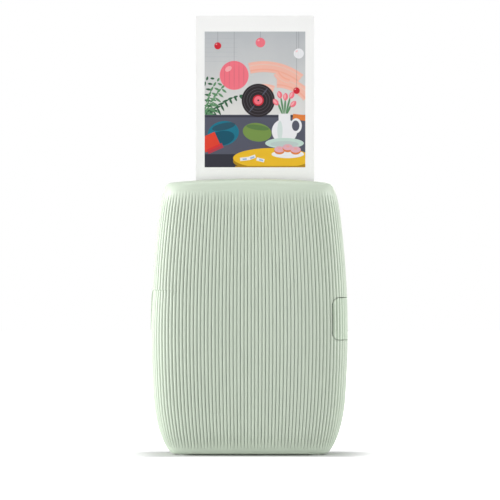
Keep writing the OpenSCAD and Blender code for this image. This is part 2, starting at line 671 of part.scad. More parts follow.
module cassette_shell() {
  color([0.12, 0.12, 0.13]) difference() {
    box([cassette_x0, cassette_y0, cassette_z0], [cassette_x1, cassette_y1, cassette_z1]);
    box([cassette_x0 + cassette_wall, cassette_y0 + cassette_wall, cassette_z0 + cassette_wall],
      [cassette_x1 - cassette_wall, cassette_y1 - cassette_wall, cassette_z1 - cassette_wall]);
    box([sheet_x0 - 0.5, print_y - 0.7, cassette_z1 - 2], [sheet_x1 + 0.5, print_y + 0.7, cassette_z1 + 1]);
    claw_slot(cassette_y0 - 1, cassette_y0 + cassette_wall);
    for (x = [cassette_x0 + 12, cassette_x1 - 12])
      box([x - 4, cassette_y1 - 2, cassette_z0 + 30], [x + 4, cassette_y1 + 1, cassette_z0 + 44]);
  }
}

plate_y0 = stack_y0 + sheets * sheet_pitch + 0.1;
module cassette_plate() {
  color([0.3, 0.3, 0.32]) box([sheet_x0, plate_y0, sheet_z0], [sheet_x1, plate_y0 + 1, sheet_z0 + sheet_l]);
}

// Two bowed leaf springs between the plate and the back of the pack.
module cassette_spring() {
  gap = cassette_y1 - cassette_wall - plate_y0 - 1;
  leaf = 0.3;
  span = 30;
  bow_r = (sq(span / 2) + sq(gap - leaf)) / (2 * (gap - leaf));
  leaf_w = 8;
  color([0.72, 0.72, 0.74]) for (x = [cassette_x0 + 18, cassette_x1 - 18])
    translate([x - leaf_w / 2, plate_y0 + 1, sheet_z0 + sheet_l / 2]) intersection() {
      translate([0, gap - bow_r, 0]) rotate([0, 90, 0]) difference() {
        cylinder(r = bow_r, h = leaf_w, $fn = 96);
        translate([0, 0, -1]) cylinder(r = bow_r - leaf, h = leaf_w + 2, $fn = 96);
      }
      box([-1, 0, -span / 2], [leaf_w + 1, gap, span / 2]);
    }
}

module film_sheets() {
  color([0.95, 0.95, 0.94]) for (i = [0 : sheets - 1])
    box([sheet_x0, stack_y0 + i * sheet_pitch, sheet_z0],
      [sheet_x1, stack_y0 + i * sheet_pitch + print_t, sheet_z0 + sheet_l]);
}

module photo_print() {
  color([0.96, 0.96, 0.96])
    box([sheet_x0, print_y - print_t / 2, print_z], [sheet_x1, print_y + print_t / 2, print_z + sheet_l]);
}

// ---- print head between pack and rollers ----
head_z1 = nip_z - roller_r - 0.4;
head_y1 = print_y - print_t / 2 - 0.4;
head_mid = (chamber_z1 + head_z1) / 2;
lens_t = 1.8;       // height of the lens array and of its slot
head_t = 6.4;
module print_head() {
  color([0.1, 0.1, 0.11]) difference() {
    box([chamber_x0 + 0.2, head_y1 - head_t, chamber_z1], [right_plate_x0 - 0.2, head_y1, head_z1]);
    box([sheet_x0 + 2, head_y1 - 5, head_mid - lens_t / 2],
      [sheet_x1 - 2, head_y1 + 1, head_mid + lens_t / 2]);
    box([sheet_x0 - 1, head_y1 - head_t - 1, chamber_z1 + 0.8], [sheet_x1 + 1, head_y1 - 5, head_z1 - 0.8]);
  }
}

module lens_array() {
  color([0.55, 0.62, 0.7]) box([sheet_x0 + 2, head_y1 - 3.4, head_mid - lens_t / 2],
    [sheet_x1 - 2, head_y1 - 0.3, head_mid + lens_t / 2]);
}

module head_board() {
  color([0.1, 0.35, 0.2]) box([sheet_x0 - 1, head_y1 - 6, chamber_z1 + 0.8],
    [sheet_x1 + 1, head_y1 - 5, head_z1 - 0.8]);
}

// ---- rollers ----
module drive_roller() {
  color([0.25, 0.25, 0.26]) difference() {
    rod_x(roller_x0, roller_x1, drive_y, nip_z, roller_r);
    rod_x(roller_x0 - 1, roller_x1 + 1, drive_y, nip_z, shaft_r);
  }
}
module pinch_roller() {
  color([0.3, 0.3, 0.31]) difference() {
    rod_x(roller_x0, roller_x1, pinch_y, nip_z, roller_r);
    rod_x(roller_x0 - 1, roller_x1 + 1, pinch_y, nip_z, shaft_r);
  }
}
module drive_shaft() {
  color([0.75, 0.75, 0.77]) rod_x(inner_gear_x0, right_plate_x1 + 0.1, drive_y, nip_z, shaft_r);
}
module pinch_shaft() {
  color([0.75, 0.75, 0.77]) rod_x(inner_gear_x0, right_plate_x1 + 0.1, pinch_y, nip_z, shaft_r);
}
module drive_gear() {
  color([0.9, 0.88, 0.8]) difference() {
    gear(inner_gear_x0, inner_gear_x1, drive_p, sync_teeth, drive_phase, sync_m);
    rod_x(inner_gear_x0 - 1, inner_gear_x1 + 1, drive_y, nip_z, shaft_r);
  }
}
module pinch_gear() {
  color([0.9, 0.88, 0.8]) difference() {
    gear(inner_gear_x0, inner_gear_x1, pinch_p, sync_teeth, pinch_phase, sync_m);
    rod_x(inner_gear_x0 - 1, inner_gear_x1 + 1, pinch_y, nip_z, shaft_r);
  }
}
module roller_bushes() {
  color([0.92, 0.9, 0.84]) for (p = [drive_p, pinch_p], x = [left_plate_x0, right_plate_x0]) difference() {
    rod_x(x, x + plate_t, p[0], p[1], bush_r);
    rod_x(x - 1, x + plate_t + 1, p[0], p[1], shaft_r + run_gap);
  }
}

// ---- reduction gears and motor ----
module idler_gear() {
  color([0.9, 0.88, 0.8]) difference() {
    gear(inner_gear_x0, inner_gear_x1, idler_p, idler_teeth, idler_phase, gear_m);
    rod_x(inner_gear_x0 - 1, inner_gear_x1 + 1, idler_p[0], idler_p[1], axle_r + run_gap);
  }
}
module reduction_gear() {
  color([0.92, 0.9, 0.83]) difference() {
    union() {
      gear(inner_gear_x0 - 0.1, inner_gear_x1, wheel_p, pinion_teeth, wheel_phase, gear_m);
      gear(outer_gear_x0, outer_gear_x1 + 0.1, wheel_p, wheel_teeth, wheel_phase, gear_m);
    }
    rod_x(outer_gear_x0 - 1, inner_gear_x1 + 1, wheel_p[0], wheel_p[1], axle_r + run_gap);
  }
}
gear_plate_x1 = outer_gear_x0 - 0.2;
gear_plate_x0 = gear_plate_x1 - 0.8;
module gear_axles() {
  color([0.75, 0.75, 0.77]) for (p = [idler_p, wheel_p])
    rod_x(gear_plate_x0, chamber_x0, p[0], p[1], axle_r);
}
post_p = [[pinch_y + 0.6, nip_z - 8], [wheel_p[0] + 7.9, wheel_p[1] - 5]];
module gearbox_plate() {
  color([0.2, 0.2, 0.21]) difference() {
    union() {
      for (corners = [[idler_p, wheel_p, post_p[0]], [wheel_p, post_p[1]]])
        hull() for (p = corners) rod_x(gear_plate_x0, gear_plate_x1, p[0], p[1], 1.6);
      for (p = post_p) rod_x(gear_plate_x0, left_plate_x0, p[0], p[1], 1.2);
    }
    for (p = [idler_p, wheel_p]) rod_x(gear_plate_x0 - 1, gear_plate_x1 + 1, p[0], p[1], axle_r);
    for (p = post_p) rod_x(gear_plate_x0 - 1, left_plate_x0 + 1, p[0], p[1], 0.5);
  }
}
module gearbox_screws() {
  color([0.55, 0.55, 0.58]) for (p = post_p) {
    rod_x(gear_plate_x0 - 0.4, left_plate_x0, p[0], p[1], 0.5);
    rod_x(gear_plate_x0 - 0.4, gear_plate_x0, p[0], p[1], 1);
  }
}
motor_x1 = chamber_x0 + motor_l;
module motor() {
  color([0.7, 0.7, 0.72]) difference() {
    union() {
      rod_x(chamber_x0, motor_x1, motor_y, motor_z, motor_d / 2);
      rod_x(motor_x1, motor_x1 + 1, motor_y, motor_z, motor_d / 4);
    }
    rod_x(chamber_x0 - 1, motor_x1 - 2, motor_y, motor_z, motor_shaft_r + run_gap);
  }
}
module motor_shaft() {
  color([0.8, 0.8, 0.82]) rod_x(outer_gear_x0, motor_x1 - 3, motor_y, motor_z, motor_shaft_r);
}
module motor_pinion() {
  color([0.85, 0.75, 0.45]) difference() {
    gear(outer_gear_x0, outer_gear_x1, motor_p, pinion_teeth, motor_phase, gear_m);
    rod_x(outer_gear_x0 - 1, outer_gear_x1 + 1, motor_y, motor_z, motor_shaft_r);
  }
}
module motor_clamp() {
  x0 = chamber_x0 + motor_l * 0.55;
  r = motor_d / 2;
  color([0.6, 0.6, 0.62]) difference() {
    intersection() {
      union() {
        rod_x(x0, x0 + 4, motor_y, motor_z, r + 0.7);
        box([x0, chamber_y0 - 0.8, motor_z - r - 4], [x0 + 4, chamber_y0, motor_z + r + 4]);
      }
      box([x0, -body_d, 0], [x0 + 4, chamber_y0, body_h]);
    }
    rod_x(x0 - 1, x0 + 5, motor_y, motor_z, r);
  }
}
module motor_leads() {
  for (k = [0, 1]) color(k == 0 ? [0.7, 0.1, 0.1] : [0.1, 0.1, 0.1]) wire([
    [motor_x1 + 0.7, motor_y - 0.9 + 1.8 * k, motor_z - 3],
    [motor_x1 + 1.2, motor_y - 0.9 + 1.8 * k, motor_z - 5],
    [motor_x1 + 1.2 + 1.6 * k, board_y0 - 0.5, motor_z - 7.5],
    [motor_x1 + 1.2 + 1.6 * k, board_y0 - 0.5, board_z1 - 4]], 0.4);
}

// ---- film claw ----
claw_t = 0.8;
claw_y1 = chamber_y0 - 0.3;
claw_z0 = sheet_z0 - 1.4;
claw_l = 25.2;
module film_claw() {
  color([0.72, 0.72, 0.74]) {
    box([claw_x0 - 1.6, claw_y1 - claw_t, claw_z0 - 4], [claw_x1 + 1.6, claw_y1, claw_z0 + claw_l]);
    box([claw_x0, claw_y1 - claw_t, claw_z0], [claw_x1, print_y + print_t / 2 + 0.05, claw_z0 + 1]);
    box([claw_x0 + 0.4, claw_y1 - claw_t - 2, claw_z0 + claw_l - 1],
      [claw_x1 - 0.4, claw_y1 - claw_t + sink, claw_z0 + claw_l]);
  }
}
guide_z0 = claw_z0 + 8;
module claw_guide() {
  color([0.2, 0.2, 0.21]) difference() {
    box([claw_x0 - 3.4, claw_y1 - claw_t - 1, guide_z0], [claw_x1 + 3.4, chamber_y0, guide_z0 + 7]);
    box([claw_x0 - 1.9, claw_y1 - claw_t - 0.3, guide_z0 - 1], [claw_x1 + 1.9, chamber_y0 + 1, guide_z0 + 8]);
  }
}
module claw_spring() {
  color([0.75, 0.75, 0.78]) translate([(claw_x0 + claw_x1) / 2, claw_y1 - claw_t - 1.25, guide_z0 + 7.05])
    coil(0.9, claw_z0 + claw_l - 1 - guide_z0 - 7.1, 6, 0.15);
}

// ---- electronics ----
module main_board() {
  color([0.1, 0.38, 0.22]) difference() {
    union() {
      box([board_x0, board_y0, board_z0], [board_x1, board_y1, board_z1]);
      box([board_x1 - sink, board_y0, button_z - 7], [ear_x1, board_y1, button_z + 7]);
    }
    for (p = stud_p) rod_y(p[0], board_y0 - 1, board_y1 + 1, p[1], 0.8);
  }
}
module board_screws() {
  color([0.55, 0.55, 0.58]) for (p = stud_p) {
    rod_y(p[0], board_y0 - 0.8, chamber_y0 + 0.4, p[1], 0.7);
    rod_y(p[0], board_y0 - 0.8, board_y0, p[1], 1.5);
  }
}
chip_a = 8;         // sides of the two chips and of the shield can
chip_b = 6;
shield_w = 12;
chip_z = board_z1 - 4 - shield_w;     // the chips stand in a row above the battery
module board_chips() {
  color([0.08, 0.08, 0.09]) {
    box([board_x0 + 3, board_y0 - 0.9, chip_z], [board_x0 + 3 + chip_a, board_y0, chip_z + chip_a]);
    box([board_x1 - 12 - chip_b, board_y0 - 0.9, chip_z + 2],
      [board_x1 - 12, board_y0, chip_z + 2 + chip_b]);
    box([board_x1 + 2, board_y0 - 0.8, button_z - 5], [board_x1 + 7, board_y0, button_z]);
    for (k = [0 : 2]) box([board_x0 + 13.5, board_y0 - 0.6, chip_z + 3 * k],
      [board_x0 + 15.1, board_y0, chip_z + 3 * k + 0.9]);
  }
}
module shield_can() {
  low = [board_x0 + 19, board_y0 - 1.6, chip_z];
  high = [board_x0 + 19 + shield_w, board_y0, chip_z + shield_w];
  color([0.78, 0.78, 0.8]) difference() {
    box(low, high);
    box(low + [0.3, 0.3, 0.3], high + [-0.3, 1, -0.3]);
  }
}
module power_switch() {
  color([0.15, 0.15, 0.16]) {
    box([stem_x - 1.5, board_y0 - 1.6, button_z - 2], [stem_x + 1.5, board_y0, button_z + 2]);
    rod_y(stem_x, board_y0 - 3 + button_travel + 0.1, board_y0 - 1.5, button_z, 0.8);
  }
}
module reset_switch() {
  z = floor_z + 2.6 + reset_travel + 0.15;
  color([0.15, 0.15, 0.16]) box([reset_x - 2, board_y1, z], [reset_x + 2, board_y1 + 3.2, z + 3]);
}
module usb_socket() {
  z0 = foot_h + 0.6;
  color([0.8, 0.8, 0.82]) difference() {
    usb_shape(z0, z0 + usb_l, 0);
    usb_shape(z0 - 1, z0 + usb_l - 0.8, 0.3);
  }
}
// The oval outline of the socket, in deep from its outside.
module usb_shape(z0, z1, in) {
  r = usb_t / 2 - in;
  for (side = [-1, 1]) rod_z(usb_x + side * (usb_w - usb_t) / 2, port_y, z0, z1, r);
  box([usb_x - (usb_w - usb_t) / 2, port_y - r, z0], [usb_x + (usb_w - usb_t) / 2, port_y + r, z1]);
}
module usb_tongue() {
  z0 = foot_h + 1.4;
  color([0.1, 0.1, 0.1])
    box([usb_x - 3.2, port_y - 0.35, z0], [usb_x + 3.2, port_y + 0.35, foot_h + 0.6 + usb_l - 0.8]);
}
battery_x0 = board_x0 + 11;
battery_z0 = chip_z - 5 - battery_l;
battery_y1 = board_y0 - 1.4;
module battery() {
  color([0.7, 0.72, 0.75]) box([battery_x0, battery_y1 - battery_t, battery_z0],
    [battery_x0 + battery_w, battery_y1, battery_z0 + battery_l]);
}
module battery_lead() {
  for (k = [0, 1]) color(k == 0 ? [0.7, 0.1, 0.1] : [0.1, 0.1, 0.1]) {
    x = battery_x0 + battery_w - 6 + 2 * k;
    wire([[x, battery_y1 - battery_t / 2, battery_z0 + battery_l + 0.4],
      [x, battery_y1 - battery_t / 2, battery_z0 + battery_l + 2],
      [x, board_y0 - 0.5, battery_z0 + battery_l + 4],
      [x, board_y0 - 0.5, battery_z0 + battery_l + 6]], 0.4);
  }
}

front_shell();
rear_frame();
foot_pads();
exit_trim();
film_door();
hinge_pins();
door_pads();
door_latch();
latch_spring();
power_button();
reset_button();
chassis();
case_screws();
cassette_shell();
cassette_plate();
cassette_spring();
film_sheets();
photo_print();
print_head();
lens_array();
head_board();
drive_roller();
drive_shaft();
drive_gear();
pinch_roller();
pinch_shaft();
pinch_gear();
roller_bushes();
idler_gear();
reduction_gear();
gear_axles();
gearbox_plate();
gearbox_screws();
motor();
motor_shaft();
motor_pinion();
motor_clamp();
motor_leads();
film_claw();
claw_guide();
claw_spring();
main_board();
board_screws();
board_chips();
shield_can();
power_switch();
reset_switch();
usb_socket();
usb_tongue();
battery();
battery_lead();
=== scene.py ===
# %% [markdown]
# # Dressing a pocket photo printer
# The construction comes from the frame: every casing, gear and screw already stands at its place and
# rides on its body. What is made here is what the eye meets: a finely ribbed casing, a smooth door, a
# print with a picture on it, and a finish for everything.

# %% Load the frame
import json
import math
import bpy
import numpy as np
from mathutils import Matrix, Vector


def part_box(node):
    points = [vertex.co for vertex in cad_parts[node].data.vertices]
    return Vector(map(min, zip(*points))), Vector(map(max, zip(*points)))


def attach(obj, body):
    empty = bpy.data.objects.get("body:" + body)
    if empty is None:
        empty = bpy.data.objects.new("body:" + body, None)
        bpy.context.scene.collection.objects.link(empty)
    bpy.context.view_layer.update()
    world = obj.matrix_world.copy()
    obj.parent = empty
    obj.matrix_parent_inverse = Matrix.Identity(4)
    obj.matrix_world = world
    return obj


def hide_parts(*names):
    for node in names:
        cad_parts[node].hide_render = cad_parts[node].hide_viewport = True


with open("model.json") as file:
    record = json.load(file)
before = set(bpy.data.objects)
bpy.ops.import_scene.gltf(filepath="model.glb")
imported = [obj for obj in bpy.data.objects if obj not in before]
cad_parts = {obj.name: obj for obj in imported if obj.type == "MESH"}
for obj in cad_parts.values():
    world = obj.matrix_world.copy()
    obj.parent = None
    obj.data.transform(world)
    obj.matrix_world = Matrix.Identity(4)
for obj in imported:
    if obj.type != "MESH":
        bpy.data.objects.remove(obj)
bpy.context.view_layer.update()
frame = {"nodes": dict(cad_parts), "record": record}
MM = 0.001

# %% [markdown]
# ## Tools for modelling by hand
# An operator works on whatever is selected, so each helper first clears the selection. Faces are picked
# by where they lie, as one would pick them with the mouse. A finished piece has its place baked into its
# mesh, so its object stays at the origin and patterns on Object coordinates don't slide.

# %% Selecting, editing and applying
def clear_selection():
    bpy.ops.object.select_all(action="DESELECT")


def take(*objects):
    """Select these objects and make the first one active."""
    clear_selection()
    for obj in objects:
        obj.select_set(True)
    bpy.context.view_layer.objects.active = objects[0]
    return objects[0]


def settle(obj, name):
    """Name a new object and bake its place, turn and scale into its mesh."""
    take(obj)
    bpy.ops.object.transform_apply(location=True, rotation=True, scale=True)
    obj.name = name
    obj.data.name = name
    return obj


def apply_modifier(obj, kind, **settings):
    take(obj)
    modifier = obj.modifiers.new(kind.title(), kind)
    for key, value in settings.items():
        setattr(modifier, key, value)
    bpy.ops.object.modifier_apply(modifier=modifier.name)
    return obj


def pick_edges_along(obj, axis):
    """In edit mode, select the edges that run along one axis: 0 for X, 1 for Y, 2 for Z."""
    take(obj)
    bpy.ops.object.mode_set(mode="EDIT")
    bpy.ops.mesh.select_mode(type="EDGE")
    bpy.ops.mesh.select_all(action="DESELECT")
    bpy.ops.object.mode_set(mode="OBJECT")
    for edge in obj.data.edges:
        start, end = (obj.data.vertices[v].co for v in edge.vertices)
        edge.select = abs((end - start).normalized()[axis]) > 0.9
    bpy.ops.object.mode_set(mode="EDIT")


def done():
    bpy.ops.object.mode_set(mode="OBJECT")


def tidy_mesh(obj, smooth_angle=None, merge=1e-7):
    """Merge doubles, point the faces outwards and, if asked, smooth the shallow edges."""
    take(obj)
    bpy.ops.object.mode_set(mode="EDIT")
    bpy.ops.mesh.select_all(action="SELECT")
    bpy.ops.mesh.remove_doubles(threshold=merge)
    bpy.ops.mesh.dissolve_degenerate(threshold=merge)
    bpy.ops.mesh.normals_make_consistent(inside=False)
    bpy.ops.object.mode_set(mode="OBJECT")
    if smooth_angle is not None:
        bpy.ops.object.shade_smooth_by_angle(angle=math.radians(smooth_angle))
    return obj


def block(name, low, high, bevel=0.0, segments=2):
    """A box between two corners, in millimetres, with rounded edges."""
    low, high = Vector(low) * MM, Vector(high) * MM
    bpy.ops.mesh.primitive_cube_add(size=1, location=(low + high) / 2)
    obj = bpy.context.object
    obj.scale = high - low
    settle(obj, name)
    if bevel:
        apply_modifier(obj, "BEVEL", width=bevel * MM, segments=segments, limit_method="ANGLE")
    return obj


def rod(name, start, end, radius, sides=48, bevel=0.0):
    """A round bar from start to end, in millimetres."""
    start, end = Vector(start) * MM, Vector(end) * MM
    along = end - start
    bpy.ops.mesh.primitive_cylinder_add(vertices=sides, radius=radius * MM, depth=along.length,
                                        location=(start + end) / 2)
    obj = bpy.context.object
    obj.rotation_mode = "QUATERNION"
    obj.rotation_quaternion = along.to_track_quat("Z", "Y")
    settle(obj, name)
    if bevel:
        apply_modifier(obj, "BEVEL", width=bevel * MM, segments=2, limit_method="ANGLE")
    return obj


def prism(name, low, high, radius, axis=1, segments=6):
    """A box whose edges along one axis are rounded, as a cutter for openings with round corners."""
    obj = block(name, low, high)
    pick_edges_along(obj, axis)
    bpy.ops.mesh.bevel(offset=radius * MM, segments=segments, affect="EDGES")
    done()
    return obj


def join(name, objects):
    take(*objects)
    bpy.ops.object.join()
    obj = bpy.context.object
    obj.name = name
    obj.data.name = name
    return obj


def cut(obj, cutter, operation="DIFFERENCE"):
    """Boolean with a cutter, which is thrown away after."""
    apply_modifier(obj, "BOOLEAN", object=cutter, operation=operation, solver="EXACT")
    bpy.data.objects.remove(cutter, do_unlink=True)
    return obj


def copy_of(obj, name):
    twin = obj.copy()
    twin.data = obj.data.copy()
    twin.name = name
    twin.data.name = name
    bpy.context.collection.objects.link(twin)
    return twin


print("tools ready; Blender", bpy.app.version_string)

# %% [markdown]
# ## The form of the casing
# The casing is a barrel. Seen from above each section is a squared oval, a superellipse. Going up, the
# sides swell to the belly and draw in again, the foot is rounded, and the top edge is a shallow arch.
# No primitive has this form and no operator bends one into it, so a grid is laid out with the grid
# operator and its points are then placed by the formula of the form. Merging closes the poles.

# %% The driving sizes, in millimetres
shell_low, shell_high = (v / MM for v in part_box("front_shell"))
BODY_W = shell_high.x - shell_low.x
FOOT_Z = shell_low.z
BODY_H = shell_high.z
PART_Y = shell_high.y
HALF_W = BODY_W / 2
BELLY_Z = 56.0
SIDE_IN, FACE_IN = 5.83, 3.06       # how far the barrel has drawn in at the crown
FOOT_IN_X, FOOT_RUN_X = 7.5, 26     # how far and over what height the foot draws in at the sides
FOOT_IN_Y, FOOT_RUN_Y = 5, 12       # and at the front and back
TOP_IN_X, TOP_RUN_X = 2, 14         # the same for the top edge
TOP_IN_Y, TOP_RUN_Y = 3, 6
CROWN_R = 380.0                     # radius of the shallow arch that the top edge makes
HALF_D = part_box("film_door")[1].y / MM
FRONT_N, BACK_N = 4, 6              # how square the sections are: 2 is an ellipse
WALL = 1.8
RIBS = 69                           # across the front, from one widest line to the other
SIDE_RIBS = 4                       # more of them on each flank
RIB_D = 0.6
SAMPLES = 1441                      # points measured along half a section
print("casing", round(BODY_W, 2), "wide,", round(BODY_H, 2), "high, parted at y =", round(PART_Y, 2))


def round_in(depth, run, s):
    """A quarter of an ellipse: 0 at s = 0 and depth at s = run."""
    s = np.clip(s, 0, run)
    return depth * (1 - np.sqrt(1 - (s / run) ** 2))


def barrel_w(h):
    """Half the width of the barrel at height h, before its ends draw in."""
    return HALF_W - SIDE_IN * ((h - BELLY_Z) / (BODY_H - BELLY_Z)) ** 2


def barrel_d(h):
    return HALF_D - FACE_IN * ((h - BELLY_Z) / (BODY_H - BELLY_Z)) ** 2


def ends_w(h):
    """How far the rounded foot and the top edge draw in from the barrel at the sides."""
    foot = round_in(FOOT_IN_X, FOOT_RUN_X, FOOT_RUN_X - h)
    return foot + round_in(TOP_IN_X, TOP_RUN_X, h - (BODY_H - TOP_RUN_X))


def ends_d(h):
    """The same at the front and back."""
    foot = round_in(FOOT_IN_Y, FOOT_RUN_Y, FOOT_RUN_Y - h)
    return foot + round_in(TOP_IN_Y, TOP_RUN_Y, h - (BODY_H - TOP_RUN_Y))


def half_w(h):
    return barrel_w(h) - ends_w(h)


def half_d(h):
    return barrel_d(h) - ends_d(h)


def section(t, n):
    """A point of the unit superellipse at the angle t."""
    c, s = np.cos(t), np.sin(t)
    return np.sign(c) * np.abs(c) ** (2 / n), np.sign(s) * np.abs(s) ** (2 / n)


def arch(x, h):
    """How far the top edge has dropped from the crown at x."""
    return x ** 2 / (2 * CROWN_R) * np.clip((h - BODY_H + TOP_RUN_X) / TOP_RUN_X, 0, 1)


def measured_section(n, first, last):
    """Points of the section from one angle to another, and the length along it at each of them."""
    x, y = section(np.radians(np.linspace(first, last, SAMPLES)), n)
    run = np.concatenate([[0], np.cumsum(np.hypot(np.diff(x * HALF_W), np.diff(y * HALF_D)))])
    return run, x, y


front_run, front_x, front_y = measured_section(FRONT_N, 180, 360)
back_run, back_x, back_y = measured_section(BACK_N, 0, 180)
FRONT_LENGTH = front_run[-1]
PITCH = FRONT_LENGTH / RIBS
print("rib pitch", round(PITCH, 3), "mm")

# %% [markdown]
# ## Rows and columns of the grid
# A row is a height, a distance drawn inwards and how far it has closed over the end: that last number
# lets the same grid run on over the top and the bottom to the plane where the two casings part. A
# column is a length along the section, and a rib takes eight of them, so its crest is truly round. How
# deep each point lies in a groove between ribs, weaker on the flanks, is kept as an attribute of the
# mesh, for the finish to paint shade into the valleys with.

# %% Laying out the grid
PAINTED_SHADE_ATTRIBUTE = "groove_and_painted_shade"                   # painted shade in the valleys between ribs: 1 at their bottom on the front, faint on the flanks, 0 elsewhere
EDGE_R = 1.7                        # rounding of the top edge
FOOT_R = 0.9                        # rounding of the bottom edge
CLOSING = (1.0, 0.6, 0.25, 0.06)    # rows that close the ends
DRAW_IN = 0.03                      # they also narrow a little, so that no face there is a mere line
MIDDLE_TO = 16                      # the plain rows end this far below the top
FADE_FOOT, FADE_FOOT_RUN = 2.5, 4   # where the ribs start to rise above the foot, and over what height
FADE_TOP, FADE_TOP_RUN = 5.5, 8     # the same below the top
DIP_TOP, DIP_RUN, DIP = 75.3, 20.0, 0.55    # the thumb dip's ledge, its height and its depth
DIP_FRONT, DIP_EASE = 0.93, 0.25    # it starts here on the flank, as a share of the half depth


def grid_rows(off, fine):
    """Rows from the middle of the bottom over the side to the middle of the top."""
    low, high = FOOT_Z + off, BODY_H - off
    turns = np.radians(np.linspace(0, 90, 7 if fine else 3))
    foot = [(low + FOOT_R * (1 - math.sin(a)), FOOT_R * (1 - math.cos(a)), 0) for a in turns[::-1]]
    side_low, side_high = low + FOOT_R, high - EDGE_R
    steps = np.radians(np.linspace(0, 90, 14 if fine else 6))[1:]
    lower = [side_low + (FOOT_RUN_X - side_low) * (1 - math.cos(a)) for a in steps]
    middle_to = BODY_H - MIDDLE_TO
    middle = np.linspace(FOOT_RUN_X, middle_to, 14 if fine else 5)[1:]
    if fine:
        middle = np.sort([*middle, DIP_TOP - 0.12, DIP_TOP + 0.01])
    upper = [middle_to + (side_high - middle_to) * math.sin(a) for a in steps[:: 1 if fine else 2]]
    sides = [(h, 0, 0) for h in (*lower, *middle, *upper)]
    top = [(high - EDGE_R * (1 - math.sin(a)), EDGE_R * (1 - math.cos(a)), 0) for a in turns[1:]]
    rows = [(low, FOOT_R, c) for c in CLOSING] + foot + sides + top
    return rows + [(high, EDGE_R, c) for c in CLOSING[::-1]]


def rib_height(run):
    """0 in a valley, 1 on a crest: rounded crests that meet in narrow valleys."""
    u = (run / PITCH) % 1
    side = SIDE_RIBS * PITCH + 1e-6
    inside = (run > -side) & (run < FRONT_LENGTH + side)
    return np.where(inside, (1 - np.abs(2 * u - 1) ** 3) ** 0.7, 1.0)


def rib_fade(h):
    """The ribs run out a little above the foot and below the top."""
    foot = np.clip((h - FOOT_Z - FADE_FOOT) / FADE_FOOT_RUN, 0, 1)
    return np.minimum(foot, np.clip((BODY_H - FADE_TOP - h) / FADE_TOP_RUN, 0, 1)) ** 0.7


def thumb_dip(x, y, h):
    """A shallow dip in the left flank above the latch: a sharp ledge on top, running out downwards."""
    down = (DIP_TOP - h) / DIP_RUN
    ramp = np.where((down > 0) & (down < 1), 1 - np.abs(down), 0.0)
    return DIP * ramp ** 1.5 * (x < 0) * np.clip((y + DIP_FRONT) / DIP_EASE, 0, 1)


def grid_surface(name, rows, columns, place):
    """A grid primitive with one vertex per row and column, each put where place() says."""
    bpy.ops.mesh.primitive_grid_add(x_subdivisions=len(columns) - 1, y_subdivisions=len(rows) - 1, size=1)
    obj = bpy.context.object
    count = len(obj.data.vertices)
    flat = np.empty(count * 3)
    obj.data.vertices.foreach_get("co", flat)
    unit = flat.reshape(-1, 3)
    i = np.rint((unit[:, 0] + 0.5) * (len(columns) - 1)).astype(int)
    j = np.rint((unit[:, 1] + 0.5) * (len(rows) - 1)).astype(int)
    h, inset, close = (np.array(rows)[j, k] for k in range(3))
    points, groove_and_painted_shade = place(np.array(columns)[i], h, inset, close)
    obj.data.vertices.foreach_set("co", points.ravel() * MM)
    # The attribute holds how much shade the finish paints into the valleys.
    shade = obj.data.attributes.new(PAINTED_SHADE_ATTRIBUTE, "FLOAT", "POINT")
    shade.data.foreach_set("value", groove_and_painted_shade)
    obj.name = name
    return obj


def drawn_in(x, y, n, h, sunk):
    """Put points of the unit section on the barrel. The ends draw in square to the section, so the ribs
    run on straight down the front. The back keeps the shape of its section all the way."""
    wide, deep = barrel_w(h), barrel_d(h)
    slope_x = np.sign(x) * np.abs(x) ** (n - 1) / wide
    slope_y = np.sign(y) * np.abs(y) ** (n - 1) / deep
    slope = np.hypot(slope_x, slope_y)
    return (x * (wide - sunk) - ends_w(h) * slope_x / slope,
            y * (deep - sunk) - ends_d(h) * slope_y / slope)


def front_place(off, depth):
    """The front half: off is how far the skin lies inside the form, depth is how deep its ribs are."""
    def place(run, h, inset, close):
        side = np.clip(-run, 0, None) + np.clip(run - FRONT_LENGTH, 0, None)
        x, y = np.interp(run, front_run, front_x), np.interp(run, front_run, front_y)
        # The groove sinks the valleys and also weights the shade painted into them.
        groove_and_painted_shade = (depth > 0) * rib_fade(h) * (1 - rib_height(run))
        sunk = off + inset + depth * groove_and_painted_shade + (depth > 0) * thumb_dip(x, y, h)
        px, py = drawn_in(x, y, FRONT_N, h, sunk)
        px, py = px * (1 - DRAW_IN * close), np.minimum(py + side, PART_Y)
        py = PART_Y + (py - PART_Y) * (1 - close)
        painted_shade_share = np.clip((-y - 0.6) / 0.35, 0.05, 1)    # the painted valley shade is full on the front and faint on the flanks
        return np.stack([px, py, h - arch(px, h)], 1), groove_and_painted_shade * painted_shade_share
    return place


def back_place(off):
    """The rear half starts where its section crosses the parting plane, on either side."""
    def place(share, h, inset, close):
        deep = half_d(h) - off - inset
        first = np.interp(PART_Y / deep, back_y[:SAMPLES // 2], back_run[:SAMPLES // 2])
        run = first + share * (back_run[-1] - 2 * first)
        x, y = np.interp(run, back_run, back_x), np.interp(run, back_run, back_y)
        px = x * (half_w(h) - off - inset) * (1 - DRAW_IN * close)
        py = PART_Y + (y * deep - PART_Y) * (1 - close)
        return np.stack([px, py, h - arch(px, h)], 1), np.zeros(len(px))
    return place


